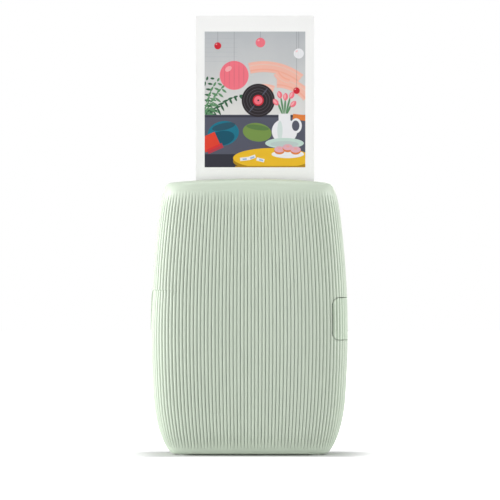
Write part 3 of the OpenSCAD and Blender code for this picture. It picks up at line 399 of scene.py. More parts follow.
def shell_of(name, outer, inner):
    """Join two open skins and fill the rim between them, on the plane where they part."""
    shell = join(name, [outer, inner])
    tidy_mesh(shell, merge=2e-6)
    take(shell)
    bpy.ops.object.mode_set(mode="EDIT")
    bpy.ops.mesh.select_mode(type="EDGE")
    bpy.ops.mesh.select_all(action="DESELECT")
    bpy.ops.mesh.select_non_manifold(extend=False, use_boundary=True, use_wire=False,
                                     use_multi_face=False, use_non_contiguous=False, use_verts=False)
    bpy.ops.mesh.fill(use_beauty=True)
    bpy.ops.mesh.select_all(action="SELECT")
    bpy.ops.mesh.normals_make_consistent(inside=False)
    done()
    return shell


print("rows", len(grid_rows(0, True)), "outside and", len(grid_rows(WALL, False)), "inside")

# %% [markdown]
# ## The front casing
# The outer skin takes eight columns to a rib, and runs on round the corners on to the flanks, where the
# side ribs lie. The inner skin is plain and coarse. The openings are cut last.

# %% The ribbed casing
SIDE_RUN = PART_Y                   # length of the flat flank behind the widest line
PER_RIB = 8                         # columns to a rib
side_columns = SIDE_RIBS * PER_RIB
fine_columns = np.concatenate([[-SIDE_RUN], np.arange(-side_columns, 0) * PITCH / PER_RIB,
                               np.arange(RIBS * PER_RIB + 1) * PITCH / PER_RIB,
                               FRONT_LENGTH + np.arange(1, side_columns + 1) * PITCH / PER_RIB,
                               [FRONT_LENGTH + SIDE_RUN]])
coarse_columns = np.concatenate([[-SIDE_RUN], np.linspace(0, FRONT_LENGTH, 121),
                                 [FRONT_LENGTH + SIDE_RUN]])
outer = grid_surface("casing_outer", grid_rows(0, True), fine_columns, front_place(0, RIB_D))
inner = grid_surface("casing_inner", grid_rows(WALL, False), coarse_columns, front_place(WALL, 0))
ribbed_casing = shell_of("ribbed_casing", outer, inner)
print("casing", len(ribbed_casing.data.polygons), "faces,",
      [round(v / MM, 2) for v in ribbed_casing.dimensions])

# %% [markdown]
# ## Openings in the front casing
# The power button is part of the same ribbed skin. So the skin is copied, the copy is kept only inside
# the button's outline, and the casing loses the same outline grown by the seam.

# %% The power button and its hole
SEAM, BUTTON_SEAM = 0.25, 0.33
button_low, button_high = (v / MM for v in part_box("power_button"))
TRAVEL = 0.8
BUTTON_R = 3.0
SKIN_FRONT = -20.0                  # in front of the whole casing
beside_x = button_high.x + 3        # clear of the casing on the right


def button_outline(name, grow, back):
    """A prism through the skin along Y, with round corners, grown by a seam."""
    return prism(name, (button_low.x - grow, SKIN_FRONT, button_low.z - grow),
                 (beside_x + grow, back, button_high.z + grow), BUTTON_R + grow)


button_skin = cut(copy_of(ribbed_casing, "button_skin"),
                  button_outline("button_outline", 0, button_high.y), "INTERSECT")
cut(ribbed_casing, button_outline("button_hole", BUTTON_SEAM, button_high.y + TRAVEL + SEAM))
tidy_mesh(button_skin, 40)
print("button", [round(v / MM, 2) for v in button_skin.dimensions], "box of the node",
      [round(v, 2) for v in (*button_low, *button_high)])

# %% [markdown]
# The other openings follow the pieces that stand in them: each cutter is the box of its node grown by
# the seam of that joint.

# %% Holes for the latch, the exit slot, the ports and the feet
latch_low, latch_high = (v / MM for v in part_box("door_latch"))
slot_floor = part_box("exit_trim")[0].z / MM
usb_low, usb_high = (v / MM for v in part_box("usb_socket"))
reset_low, reset_high = (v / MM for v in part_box("reset_button"))
sheet_low, sheet_high = (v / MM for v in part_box("photo_print"))
feet_low, feet_high = (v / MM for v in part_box("foot_pads"))
KNOB_Y = 7.4                        # the back of the latch's knob
KNOB_TOP_GAP = 0.7                  # a wider gap above it, which shows as a dark notch
SHEET_GAP, TRIM_WALL, TRIM_FIT = 0.7, 1.1, 0.1
SLOT_R = 1.8
PORT_GAP, PORT_R = 0.2, 1.6
RESET_HOLE_R = 1.4
FOOT_PAD_R = 3.0
PORT_TOP = 9                        # the openings in the base are cut up to this height
foot_x = feet_high.x - FOOT_PAD_R
foot_y = (feet_low.y + FOOT_PAD_R, feet_high.y - FOOT_PAD_R)

cut(ribbed_casing, block("latch_hole", (latch_low.x - 3, latch_low.y - SEAM, latch_low.z - SEAM),
                         (latch_low.x + 6, KNOB_Y + SEAM, latch_high.z + KNOB_TOP_GAP)))
slot_grow = SHEET_GAP + TRIM_WALL + TRIM_FIT
cut(ribbed_casing, prism("slot_hole", (sheet_low.x - slot_grow, sheet_low.y - slot_grow, slot_floor),
                         (sheet_high.x + slot_grow, sheet_high.y + slot_grow, BODY_H + 2), SLOT_R, axis=2))
cut(ribbed_casing, prism("usb_hole", (usb_low.x - PORT_GAP, usb_low.y - PORT_GAP, 0),
                         (usb_high.x + PORT_GAP, usb_high.y + PORT_GAP, PORT_TOP), PORT_R, axis=2))
reset_mid = (reset_low + reset_high) / 2
cut(ribbed_casing, rod("reset_hole", (reset_mid.x, reset_mid.y, 0), (reset_mid.x, reset_mid.y, PORT_TOP),
                       RESET_HOLE_R, 32))
for x in (-foot_x, foot_x):
    for y in foot_y:
        cut(ribbed_casing, rod("foot_pocket", (x, y, 0), (x, y, feet_high.z), FOOT_PAD_R, 48))
tidy_mesh(ribbed_casing, 40)
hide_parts("front_shell")
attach(ribbed_casing, "printer")
print("front casing", len(ribbed_casing.data.polygons), "faces with all its openings")

# %% [markdown]
# ## The power button
# Behind the ribbed skin the button has a stem that reaches the switch on the board. It is a plain block,
# joined to the skin and not fused with it, because nobody sees where they meet.

# %% Finishing the button
STEM_IN, STEM_W = 0.4, 2.0          # from the button's inner edge
STEM_FRONT, STEM_SHORT = -13.2, 11.2    # it ends this much before the back of the button
STEM_Z = (59.2, 65.2)
stem = block("button_stem", (button_low.x + STEM_IN, STEM_FRONT, STEM_Z[0]),
             (button_low.x + STEM_IN + STEM_W, button_high.y - STEM_SHORT, STEM_Z[1]), 0.3)
power_button = join("power_button_face", [button_skin, stem])
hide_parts("power_button")
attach(power_button, "power")
print("power button in its hole, travel", TRAVEL, "mm")

# %% [markdown]
# ## The smooth back
# The rear skin comes from the same form with a squarer section. The door is what lies inside its rounded
# outline, and the frame is what lies outside it.

# %% The rear skin, parted into door and frame
door_low, door_high = (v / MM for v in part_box("film_door"))
HINGE_R = 1.5
HINGE_X = door_high.x - HINGE_R
DOOR_X1 = HINGE_X - 1.6             # the door's skin ends just before the knuckles
DOOR_R = 4.0
LOOSE, HINGE_GAP = 0.4, 0.7         # the seam round the door, wider on the hinge side
FLANGE = 1.6
BEHIND = 30.0                       # behind the whole casing, where cutters end
shares = np.linspace(0, 1, 161)
outer = grid_surface("rear_outer", grid_rows(0, True), shares, back_place(0))
inner = grid_surface("rear_inner", grid_rows(WALL, False), np.linspace(0, 1, 41), back_place(WALL))
rear_skin = shell_of("rear_skin", outer, inner)
door = copy_of(rear_skin, "smooth_door")
cut(door, prism("door_outline", (door_low.x, PART_Y - 1, door_low.z), (DOOR_X1, BEHIND, door_high.z), DOOR_R),
    "INTERSECT")
opening = prism("door_opening", (door_low.x - LOOSE, PART_Y - 1, door_low.z - LOOSE),
                (DOOR_X1 + HINGE_GAP, BEHIND, door_high.z + LOOSE), DOOR_R + LOOSE)
rear_frame = cut(rear_skin, opening)
rear_frame.name = "rear_casing"
print("door", [round(v / MM, 2) for v in door.dimensions], "box of the node",
      [round(v, 2) for v in (*door_low, *door_high)])

# %% [markdown]
# ## Behind the smooth back
# The frame has a flange behind the seam, two ears for each knuckle and a notch for the latch. The door
# has knuckles between the ears, stiffening ribs inside and a lip that the latch holds.

# %% The flange with its window
pin_low, pin_high = (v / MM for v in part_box("hinge_pins"))
pack_low, pack_high = (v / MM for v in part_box("cassette_shell"))
chassis_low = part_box("chassis")[0] / MM
hinge_y = (pin_low.y + pin_high.y) / 2
PIN_R = (pin_high.y - pin_low.y) / 2
KNUCKLE, EAR, SIDE_GAP = 8.0, 4.0, 0.2      # their heights, and the gap between them
REACH = EAR + KNUCKLE / 2 + SIDE_GAP
hinge_z = (pin_low.z + REACH, pin_high.z - REACH)
latch_mid = (latch_low.z + latch_high.z) / 2
ARM_X0 = latch_high.x - 1.0         # the latch arm is one millimetre thick
ACROSS = 60                         # past either side of the casing
BITE = 0.1                          # pieces reach this far into the wall that they join

inside = grid_surface("inner_form", grid_rows(WALL - BITE, False), np.linspace(0, 1, 61),
                      back_place(WALL - BITE))
tidy_mesh(inside, merge=2e-6)
take(inside)
bpy.ops.object.mode_set(mode="EDIT")
bpy.ops.mesh.select_all(action="SELECT")
bpy.ops.mesh.region_to_loop()
bpy.ops.mesh.fill(use_beauty=True)
bpy.ops.mesh.select_all(action="SELECT")
bpy.ops.mesh.normals_make_consistent(inside=False)
done()

WINDOW_X0, WINDOW_X1 = pack_low.x - 5.2, pack_high.x + 2.2
flange = block("flange", (-ACROSS, PART_Y + 0.02, 0), (ACROSS, PART_Y + FLANGE, BODY_H + 2))
cut(flange, copy_of(inside, "flange_form"), "INTERSECT")
cut(flange, block("window", (WINDOW_X0, 0, chassis_low.z - 0.8), (WINDOW_X1, 20, pack_high.z + 2.4)))
cut(flange, block("latch_notch", (-ACROSS, 0, latch_low.z - SEAM),
                  (ARM_X0 - 2, PART_Y + 1, latch_high.z + KNOB_TOP_GAP)))
cut(flange, block("arm_notch", (ARM_X0 - 1.4, 0, latch_mid - 6),
                  (WINDOW_X0 + 1, PART_Y + 3, latch_mid + 6)))
BOSS_R, SCREW_R, SCREW_GAP = 2.4, 1.0, 0.2
boss_z = (pack_low.z + 4, pack_high.z - 1.5)
bosses = [(side * (half_w(z) - WALL - BOSS_R - 0.2), z) for z in boss_z for side in (-1, 1)]
for x, z in bosses:
    cut(flange, rod("screw_hole", (x, PART_Y - 1, z), (x, PART_Y + 3, z), SCREW_R + SCREW_GAP, 32))
print("flange", len(flange.data.polygons), "faces; bosses at",
      [(round(x, 1), round(z, 1)) for x, z in bosses])

# %% [markdown]
# The hinge has two knuckles of the door, each between two ears of the frame on its own short pin. An ear
# is a rod, joined to the flange by an arm and drilled for the pin. The frame's skin then loses the room
# that knuckles and ears take up.

# %% Ears on the frame
rear_parts = [rear_frame, flange]
for z in hinge_z:
    for side in (-1, 1):
        low = z + side * (KNUCKLE / 2 + SIDE_GAP) - (EAR if side < 0 else 0)
        ear = rod("ear", (HINGE_X, hinge_y, low), (HINGE_X, hinge_y, low + EAR), HINGE_R, 48, 0.2)
        cut(ear, block("ear_arm", (HINGE_X - 0.6, PART_Y + 1, low + 0.2),
                       (HINGE_X + 0.6, hinge_y, low + EAR - 0.2)), "UNION")
        cut(ear, rod("pin_hole", (HINGE_X, hinge_y, low - 1), (HINGE_X, hinge_y, low + EAR + 1), PIN_R, 32))
        rear_parts.append(ear)
    room = KNUCKLE / 2 + SIDE_GAP
    cut(rear_frame, block("knuckle_room", (DOOR_X1 - 0.6, PART_Y + FLANGE + 0.4, z - room),
                          (HINGE_X + HINGE_R + 0.4, BEHIND, z + room)))
    cut(rear_frame, rod("ear_room", (HINGE_X, hinge_y, z - REACH - 0.1),
                        (HINGE_X, hinge_y, z + REACH + 0.1), HINGE_R, 48))
rear_frame = join("rear_casing", rear_parts)
tidy_mesh(rear_frame, 40)
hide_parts("rear_frame")
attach(rear_frame, "printer")
print("rear casing", len(rear_frame.data.polygons), "faces, knuckles at", [round(z, 1) for z in hinge_z])

# %% [markdown]
# A knuckle is a drilled rod too, with a leaf that reaches the door's skin. The ribs and the lip start as
# blocks that are too deep, and the form of the wall's inner side then trims them to length.

# %% Knuckles, ribs and lip on the door
door_parts = [door]
for z in hinge_z:
    low, high = z - KNUCKLE / 2, z + KNUCKLE / 2
    knuckle = rod("knuckle", (HINGE_X, hinge_y, low), (HINGE_X, hinge_y, high), HINGE_R, 48, 0.2)
    cut(knuckle, block("leaf", (DOOR_X1 - 1.6, hinge_y - HINGE_R, low + 0.2),
                       (HINGE_X, hinge_y + 0.7, high - 0.2), 0.15), "UNION")
    cut(knuckle, rod("pin_hole", (HINGE_X, hinge_y, low - 1), (HINGE_X, hinge_y, high + 1),
                     PIN_R + 0.05, 32))
    door_parts.append(knuckle)
RIB_Y0 = pack_high.y + 0.6
rib_x = (pack_low.x + 4, (pack_low.x + pack_high.x) / 2, pack_high.x - 4)
for x in rib_x:
    rib = block("door_rib", (x - 0.8, RIB_Y0, pack_low.z + 6), (x + 0.8, BEHIND, pack_high.z - 6))
    door_parts.append(cut(rib, copy_of(inside, "rib_form"), "INTERSECT"))
LIP_X0, CATCH_Y, LIP_HALF = ARM_X0 - 1.9, latch_high.y - 1, 4
lip_low = (LIP_X0, CATCH_Y - 1.2, latch_mid - LIP_HALF)
lip = block("catch_lip", lip_low, (LIP_X0 + 1, BEHIND, latch_mid + LIP_HALF))
cut(lip, block("lip_edge", lip_low, (LIP_X0 + 1.3, CATCH_Y - 0.3, latch_mid + LIP_HALF)), "UNION")
door_parts.append(cut(lip, inside, "INTERSECT"))
door = join("smooth_door", door_parts)
tidy_mesh(door, 40)
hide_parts("film_door")
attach(door, "door")
print("door", len(door.data.polygons), "faces with", len(rib_x), "ribs")

# %% [markdown]
# ## The film cassette
# With the door open, the back of the cassette is what one sees: a black box with rounded edges, a sunk
# panel, two windows over the pressure springs, finger grips and a bright mark that shows how it lies.
# All of these are sunk, so each is a rounded prism cut from the block. The mark is a piece of its own,
# because it is paint of another colour.

# %% Modelling the cassette
sheets_low, sheets_high = (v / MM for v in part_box("film_sheets"))
claw_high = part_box("film_claw")[1] / MM
PACK_WALL = 1.1
WINDOW_IN, WINDOW_HALF = 12.0, 4.0  # the middle of a window from the side, and half its width
GRIP_IN, GRIP_HALF, GRIPS, GRIP_STEP = 13, 6, 5, 2.2
PANEL_DEEP, GRIP_DEEP, MARK_DEEP = 0.35, 0.4, 0.3
MARK_X, MARK_W, MARK_DROP, MARK_H = 8, 14, 10, 3    # its corner, width, drop from the top and height
MARK_FIT = 0.1
back = pack_high.y
cassette = block("film_cassette", pack_low, pack_high, 0.5, 3)
cut(cassette, block("cavity", pack_low + Vector([PACK_WALL] * 3), pack_high - Vector([PACK_WALL] * 3)))
cut(cassette, block("exit", (sheets_low.x - 0.5, sheet_low.y - 0.5, pack_high.z - 2),
                    (sheets_high.x + 0.5, sheet_high.y + 0.5, pack_high.z + 1)))
cut(cassette, block("claw_slot", (claw_high.x - 5.4, pack_low.y - 1, pack_low.z + 0.9),
                    (claw_high.x - 0.9, pack_low.y + PACK_WALL, claw_high.z)))
cut(cassette, prism("sunk_panel", (pack_low.x + 4, back - PANEL_DEEP, pack_low.z + 22),
                    (pack_high.x - 4, back + 1, pack_high.z - 16), 2.5))
for x in (pack_low.x + WINDOW_IN, pack_high.x - WINDOW_IN):
    cut(cassette, prism("spring_window", (x - WINDOW_HALF, back - 2, pack_low.z + 30),
                        (x + WINDOW_HALF, back + 1, pack_low.z + 44), 1.0))
for step in range(GRIPS):
    z = pack_low.z + 7 + GRIP_STEP * step
    for x in (pack_low.x + GRIP_IN, pack_high.x - GRIP_IN):
        cut(cassette, prism("grip", (x - GRIP_HALF, back - GRIP_DEEP, z),
                            (x + GRIP_HALF, back + 1, z + GRIP_STEP / 2), 0.5))
mark_low = Vector((pack_low.x + MARK_X, back - MARK_DEEP, pack_high.z - MARK_DROP))
cut(cassette, prism("mark_bed", mark_low, (mark_low.x + MARK_W, back + 1, mark_low.z + MARK_H), 0.6))
tidy_mesh(cassette, 40)
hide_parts("cassette_shell")
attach(cassette, "printer")
mark = prism("cassette_mark", mark_low + Vector((MARK_FIT, 0, MARK_FIT)),
             (mark_low.x + MARK_W - MARK_FIT, back - 0.06, mark_low.z + MARK_H - MARK_FIT), 0.5)
tidy_mesh(mark, 40)
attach(mark, "printer")
print("cassette", len(cassette.data.polygons), "faces")

# %% [markdown]
# ## Finishes
# Every finish is made of shader nodes on Object coordinates, in metres. The moulded plastic gets a fine
# grain and a slight mottle, the metals are brushed, and the rubber is dull. A finish made this way needs
# no picture and no unwrapping, and it stays sharp at any distance.

# %% Building materials
def new_material(name):
    material = bpy.data.materials.new(name)
    material.use_nodes = True
    tree = material.node_tree
    return material, tree.nodes, tree.links, tree.nodes["Principled BSDF"]


def place_node(nodes):
    return nodes.new("ShaderNodeTexCoord").outputs["Object"]


def noise(nodes, links, where, scale, detail=3.0, roughness=0.55, stretch=None):
    texture = nodes.new("ShaderNodeTexNoise")
    texture.inputs["Scale"].default_value = scale
    texture.inputs["Detail"].default_value = detail
    texture.inputs["Roughness"].default_value = roughness
    if stretch:
        mapping = nodes.new("ShaderNodeMapping")
        mapping.inputs["Scale"].default_value = stretch
        links.new(where, mapping.inputs["Vector"])
        where = mapping.outputs["Vector"]
    links.new(where, texture.inputs["Vector"])
    return texture.outputs["Fac"]


def spread(nodes, links, value, low, high):
    """Map 0.3..0.7 of a noise to low..high."""
    ramp = nodes.new("ShaderNodeMapRange")
    ramp.inputs["From Min"].default_value = 0.3
    ramp.inputs["From Max"].default_value = 0.7
    ramp.inputs["To Min"].default_value = low
    ramp.inputs["To Max"].default_value = high
    links.new(value, ramp.inputs["Value"])
    return ramp.outputs["Result"]


def mottled(nodes, links, value, first, second):
    mix = nodes.new("ShaderNodeMix")
    mix.data_type = "RGBA"
    mix.inputs[6].default_value = (*first, 1)
    mix.inputs[7].default_value = (*second, 1)
    links.new(spread(nodes, links, value, 0, 1), mix.inputs["Factor"])
    return mix.outputs[2]


def bump(nodes, links, value, depth, shader):
    """Raise the surface by depth metres where the value is high."""
    node = nodes.new("ShaderNodeBump")
    node.inputs["Strength"].default_value = 0.6
    node.inputs["Distance"].default_value = depth
    links.new(value, node.inputs["Height"])
    links.new(node.outputs["Normal"], shader.inputs["Normal"])


def moulded(name, color, rough, grain=2600, depth=2e-5, mottle=0.06, specular=0.4):
    """Injection-moulded plastic with a fine spark-eroded grain."""
    material, nodes, links, shader = new_material(name)
    where = place_node(nodes)
    cloud = noise(nodes, links, where, 60, 4)
    darker = tuple(c * (1 - mottle) for c in color)
    links.new(mottled(nodes, links, cloud, darker, color), shader.inputs["Base Color"])
    fine = noise(nodes, links, where, grain, 2)
    links.new(spread(nodes, links, fine, rough - 0.05, rough + 0.05), shader.inputs["Roughness"])
    shader.inputs["Specular IOR Level"].default_value = specular
    bump(nodes, links, fine, depth, shader)
    return material


def with_painted_valley_shade(material, color, shade):
    """Paint shade into a moulded plastic, darker towards the bottom of the valleys between the ribs."""
    nodes, links = material.node_tree.nodes, material.node_tree.links
    shader = nodes["Principled BSDF"]
    # The attribute says where shade is painted into the valleys.
    valley = nodes.new("ShaderNodeAttribute")
    valley.attribute_name = PAINTED_SHADE_ATTRIBUTE
    mix = nodes.new("ShaderNodeMix")
    mix.data_type = "RGBA"
    links.new(valley.outputs["Fac"], mix.inputs["Factor"])
    links.new(shader.inputs["Base Color"].links[0].from_socket, mix.inputs[6])
    mix.inputs[7].default_value = (*(c * shade for c in color), 1)
    links.new(mix.outputs[2], shader.inputs["Base Color"])
    return material


def metal(name, color, rough, stretch=(1, 1, 40), scale=900):
    """Metal with fine lines from grinding or drawing."""
    material, nodes, links, shader = new_material(name)
    where = place_node(nodes)
    lines = noise(nodes, links, where, scale, 3, 0.6, stretch)
    darker = tuple(c * 0.82 for c in color)
    links.new(mottled(nodes, links, lines, darker, color), shader.inputs["Base Color"])
    links.new(spread(nodes, links, lines, rough - 0.08, rough + 0.1), shader.inputs["Roughness"])
    shader.inputs["Metallic"].default_value = 1.0
    bump(nodes, links, lines, 6e-6, shader)
    return material


def soft(name, color, rough=0.85, grain=1500, depth=3e-5):
    """Rubber, felt or foam: dull, with an open grain."""
    material, nodes, links, shader = new_material(name)
    where = place_node(nodes)
    pores = noise(nodes, links, where, grain, 5, 0.7)
    darker = tuple(c * 0.7 for c in color)
    links.new(mottled(nodes, links, pores, darker, color), shader.inputs["Base Color"])
    links.new(spread(nodes, links, pores, rough - 0.08, min(1.0, rough + 0.08)), shader.inputs["Roughness"])
    shader.inputs["Specular IOR Level"].default_value = 0.25
    bump(nodes, links, pores, depth, shader)
    return material


print("kinds of finish:", ", ".join(kind.__name__ for kind in (moulded, metal, soft)))

# %% [markdown]
# The shell is a pale sage plastic, and its button a slightly stronger one from another mould. The valleys
# between the ribs are darkened a little, as light gets lost in them. Inside, each kind of piece has the
# stuff it would be made of.

# %% The finishes of the printer
SAGE = (0.590, 0.672, 0.552)
BUTTON_SAGE = (0.572, 0.670, 0.535)
# The painted valley shade darkens the plastic's colour to this share at the bottom of a valley.
VALLEY_SHADE = 0.5
shell_plastic = with_painted_valley_shade(moulded("sage_shell_plastic", SAGE, 0.42, mottle=0.025, specular=0.6),
                        SAGE, VALLEY_SHADE)
button_plastic = with_painted_valley_shade(moulded("sage_button_plastic", BUTTON_SAGE, 0.4, mottle=0.025, specular=0.6),
                         BUTTON_SAGE, VALLEY_SHADE)
frame_plastic = moulded("sage_frame_plastic", (0.59, 0.675, 0.54), 0.45, mottle=0.025, specular=0.55)
trim_plastic = moulded("dark_trim_plastic", (0.045, 0.05, 0.047), 0.5)
black_plastic = moulded("black_structural_plastic", (0.018, 0.018, 0.019), 0.55, mottle=0.2)
gear_plastic = moulded("acetal_gear_plastic", (0.72, 0.69, 0.6), 0.38, grain=900, depth=1e-5)
foot_rubber = soft("clear_foot_rubber", (0.6, 0.62, 0.58), 0.6)
roller_rubber = soft("ground_roller_rubber", (0.035, 0.035, 0.037), 0.8)
pad_foam = soft("black_pad_foam", (0.02, 0.02, 0.02), 0.95, 900, 8e-5)
ground_steel = metal("ground_steel", (0.6, 0.6, 0.61), 0.28)
spring_steel = metal("spring_steel", (0.62, 0.62, 0.65), 0.22, (1, 1, 1), 3000)
turned_brass = metal("turned_brass", (0.74, 0.53, 0.24), 0.25, (60, 1, 1))
film_surface = moulded("satin_film", (0.82, 0.82, 0.8), 0.3, 1800, 4e-6, 0.02)
chip_plastic = moulded("chip_epoxy", (0.014, 0.014, 0.015), 0.45, 1200, 1e-5, 0.2)
mark_paint = moulded("yellow_mark_paint", (0.75, 0.47, 0.03), 0.4)
wire_rubber = soft("red_wire_insulation", (0.3, 0.02, 0.02), 0.5)


def coated_glass():
    """The lens bar of the print head: clear glass with a faint streak from moulding."""
    material, nodes, links, shader = new_material("lens_glass")
    streaks = noise(nodes, links, place_node(nodes), 300, 2, 0.5, (0.05, 1, 1))
    clear = mottled(nodes, links, streaks, (0.78, 0.86, 0.84), (0.9, 0.95, 0.94))
    links.new(clear, shader.inputs["Base Color"])
    links.new(spread(nodes, links, streaks, 0.03, 0.09), shader.inputs["Roughness"])
    shader.inputs["Transmission Weight"].default_value = 0.9
    shader.inputs["IOR"].default_value = 1.5
    return material


def solder_mask():
    """A green circuit board: copper tracks show through the lacquer as lighter bands."""
    material, nodes, links, shader = new_material("board_solder_mask")
    tracks = nodes.new("ShaderNodeTexBrick")
    tracks.inputs["Scale"].default_value = 260
    tracks.inputs["Mortar Size"].default_value = 0.06
    tracks.inputs["Color1"].default_value = (0.012, 0.105, 0.045, 1)
    tracks.inputs["Color2"].default_value = (0.014, 0.125, 0.055, 1)
    tracks.inputs["Mortar"].default_value = (0.03, 0.2, 0.09, 1)
    turned = nodes.new("ShaderNodeMapping")
    turned.inputs["Rotation"].default_value = (math.radians(90), 0, 0)
    links.new(place_node(nodes), turned.inputs["Vector"])
    links.new(turned.outputs["Vector"], tracks.inputs["Vector"])
    links.new(tracks.outputs["Color"], shader.inputs["Base Color"])
    shader.inputs["Roughness"].default_value = 0.35
    bump(nodes, links, tracks.outputs["Fac"], 2e-5, shader)
    return material


def cell_pouch():
    """The foil of a flat cell: pale grey, slightly wrinkled."""
    material, nodes, links, shader = new_material("cell_pouch_foil")
    creases = noise(nodes, links, place_node(nodes), 180, 6, 0.7)
    foil = mottled(nodes, links, creases, (0.5, 0.51, 0.53), (0.62, 0.63, 0.65))
    links.new(foil, shader.inputs["Base Color"])
    links.new(spread(nodes, links, creases, 0.3, 0.45), shader.inputs["Roughness"])
    shader.inputs["Metallic"].default_value = 0.7
    bump(nodes, links, creases, 1.2e-4, shader)
    return material


lens_glass, board_mask, pouch_foil = coated_glass(), solder_mask(), cell_pouch()
print("finishes", len(bpy.data.materials))

# %% [markdown]
# ## The picture on the print
# The print shows a made-up still life in the colours of party paper: a pale wall with loose coral arcs,
# a plant, paper balls and a sideboard with a record, a jug and bowls. Each shape is a mask that shader
# nodes work out from the place on the sheet, in millimetres, and shapes are laid over one another in
# order, as cut paper is.

# %% Tools for painting shapes
EDGE_SOFTNESS = 0.14                # millimetres over which a shape's edge fades
STROKE_TURN = 26                    # degrees that a brush stroke bends to either side


def math_node(tree, operation, *values, clamp=False):
    node = tree.nodes.new("ShaderNodeMath")
    node.operation = operation
    node.use_clamp = clamp
    for socket, value in zip(node.inputs, values):
        if isinstance(value, (int, float)):
            socket.default_value = value
        else:
            tree.links.new(value, socket)
    return node.outputs[0]


def shape_group(name, depth_of):
    """A node group that paints one kind of shape over a colour. depth_of says how deep a point lies in
    the shape, from coordinates turned and moved to its middle and from its two sizes."""
    tree = bpy.data.node_groups.new(name, "ShaderNodeTree")
    for socket in ("Across", "Up", "X", "Z", "Turn", "Wide", "High", "Strength"):
        tree.interface.new_socket(socket, in_out="INPUT", socket_type="NodeSocketFloat")
    for socket in ("Under", "Paint"):
        tree.interface.new_socket(socket, in_out="INPUT", socket_type="NodeSocketColor")
    tree.interface.new_socket("Color", in_out="OUTPUT", socket_type="NodeSocketColor")
    given = tree.nodes.new("NodeGroupInput").outputs
    result = tree.nodes.new("NodeGroupOutput")

    def calc(operation, *values, clamp=False):
        return math_node(tree, operation, *values, clamp=clamp)

    turn = calc("RADIANS", given["Turn"])
    c, s = calc("COSINE", turn), calc("SINE", turn)
    dx, dz = calc("SUBTRACT", given["Across"], given["X"]), calc("SUBTRACT", given["Up"], given["Z"])
    a = calc("ADD", calc("MULTIPLY", dx, c), calc("MULTIPLY", dz, s))
    b = calc("SUBTRACT", calc("MULTIPLY", dz, c), calc("MULTIPLY", dx, s))
    depth = depth_of(calc, a, b, given["Wide"], given["High"])
    mask = calc("MULTIPLY_ADD", depth, 1 / EDGE_SOFTNESS, 0.5, clamp=True)
    mix = tree.nodes.new("ShaderNodeMix")
    mix.data_type = "RGBA"
    tree.links.new(calc("MULTIPLY", mask, given["Strength"]), mix.inputs["Factor"])
    tree.links.new(given["Under"], mix.inputs[6])
    tree.links.new(given["Paint"], mix.inputs[7])
    tree.links.new(mix.outputs[2], result.inputs["Color"])
    return tree


def distance(calc, a, b):
    return calc("SQRT", calc("MULTIPLY_ADD", a, a, calc("MULTIPLY", b, b)))


def oval(calc, a, b, wide, high):
    """wide and high are the two radii."""
    return calc("SUBTRACT", wide, distance(calc, a, calc("DIVIDE", calc("MULTIPLY", b, wide), high)))


def bar(calc, a, b, wide, high):
    """wide and high are the whole width and height."""
    side = calc("MULTIPLY_ADD", wide, 0.5, calc("MULTIPLY", calc("ABSOLUTE", a), -1))
    end = calc("MULTIPLY_ADD", high, 0.5, calc("MULTIPLY", calc("ABSOLUTE", b), -1))
    return calc("MINIMUM", side, end)


def leaf(calc, a, b, wide, high):
    """A pointed leaf, high long and wide across: the overlap of two discs."""
    squares = calc("MULTIPLY_ADD", high, high, calc("MULTIPLY", wide, wide))
    radius = calc("DIVIDE", squares, calc("MULTIPLY", wide, 4))
    off = calc("MULTIPLY_ADD", wide, -0.5, radius)
    return calc("SUBTRACT", radius, distance(calc, calc("ADD", calc("ABSOLUTE", a), off), b))


def stroke(calc, a, b, wide, high):
    """A brush stroke, wide thick and bent round a circle of radius high."""
    out = distance(calc, a, b)
    off = calc("ABSOLUTE", calc("SUBTRACT", out, high))
    ring = calc("MULTIPLY_ADD", wide, 0.5, calc("MULTIPLY", off, -1))
    sweep = calc("MULTIPLY_ADD", out, -math.cos(math.radians(STROKE_TURN)), a)
    return calc("MINIMUM", ring, sweep)


SHAPES = {form.__name__: shape_group(form.__name__, form) for form in (oval, bar, leaf, stroke)}


class Picture:
    """Paints flat shapes over one another. Places are in millimetres from the middle of the picture."""

    def __init__(self, tree, middle, ground):
        self.tree = tree
        split = tree.nodes.new("ShaderNodeSeparateXYZ")
        tree.links.new(place_node(tree.nodes), split.inputs["Vector"])
        self.across = math_node(tree, "MULTIPLY_ADD", split.outputs["X"], 1 / MM, -middle[0])
        self.up = math_node(tree, "MULTIPLY_ADD", split.outputs["Z"], 1 / MM, -middle[1])
        self.color = ground

    def paint(self, shape, place, size, color, turn=0, strength=1.0):
        node = self.tree.nodes.new("ShaderNodeGroup")
        node.node_tree = SHAPES[shape]
        for socket, value in zip(("X", "Z", "Wide", "High", "Turn", "Strength"),
                                 (*place, *size, turn, strength)):
            node.inputs[socket].default_value = value
        for socket, value in (("Across", self.across), ("Up", self.up), ("Under", self.color)):
            self.tree.links.new(value, node.inputs[socket])
        if isinstance(color, tuple):
            node.inputs["Paint"].default_value = (*color, 1)
        else:
            self.tree.links.new(color, node.inputs["Paint"])
        self.color = node.outputs["Color"]


def tone(red, green, blue):
    """A colour as seen on a screen, 0 to 255, as the linear values that a shader takes."""
    return tuple(((c / 255 + 0.055) / 1.055) ** 2.4 if c > 10 else c / 3294.6 for c in (red, green, blue))


print("shapes to paint with:", ", ".join(SHAPES))

# %% [markdown]
# The still life is painted from back to front. Each thing in it has its own function, and what repeats,
# such as the fronds, the balls and the buds, is a loop.

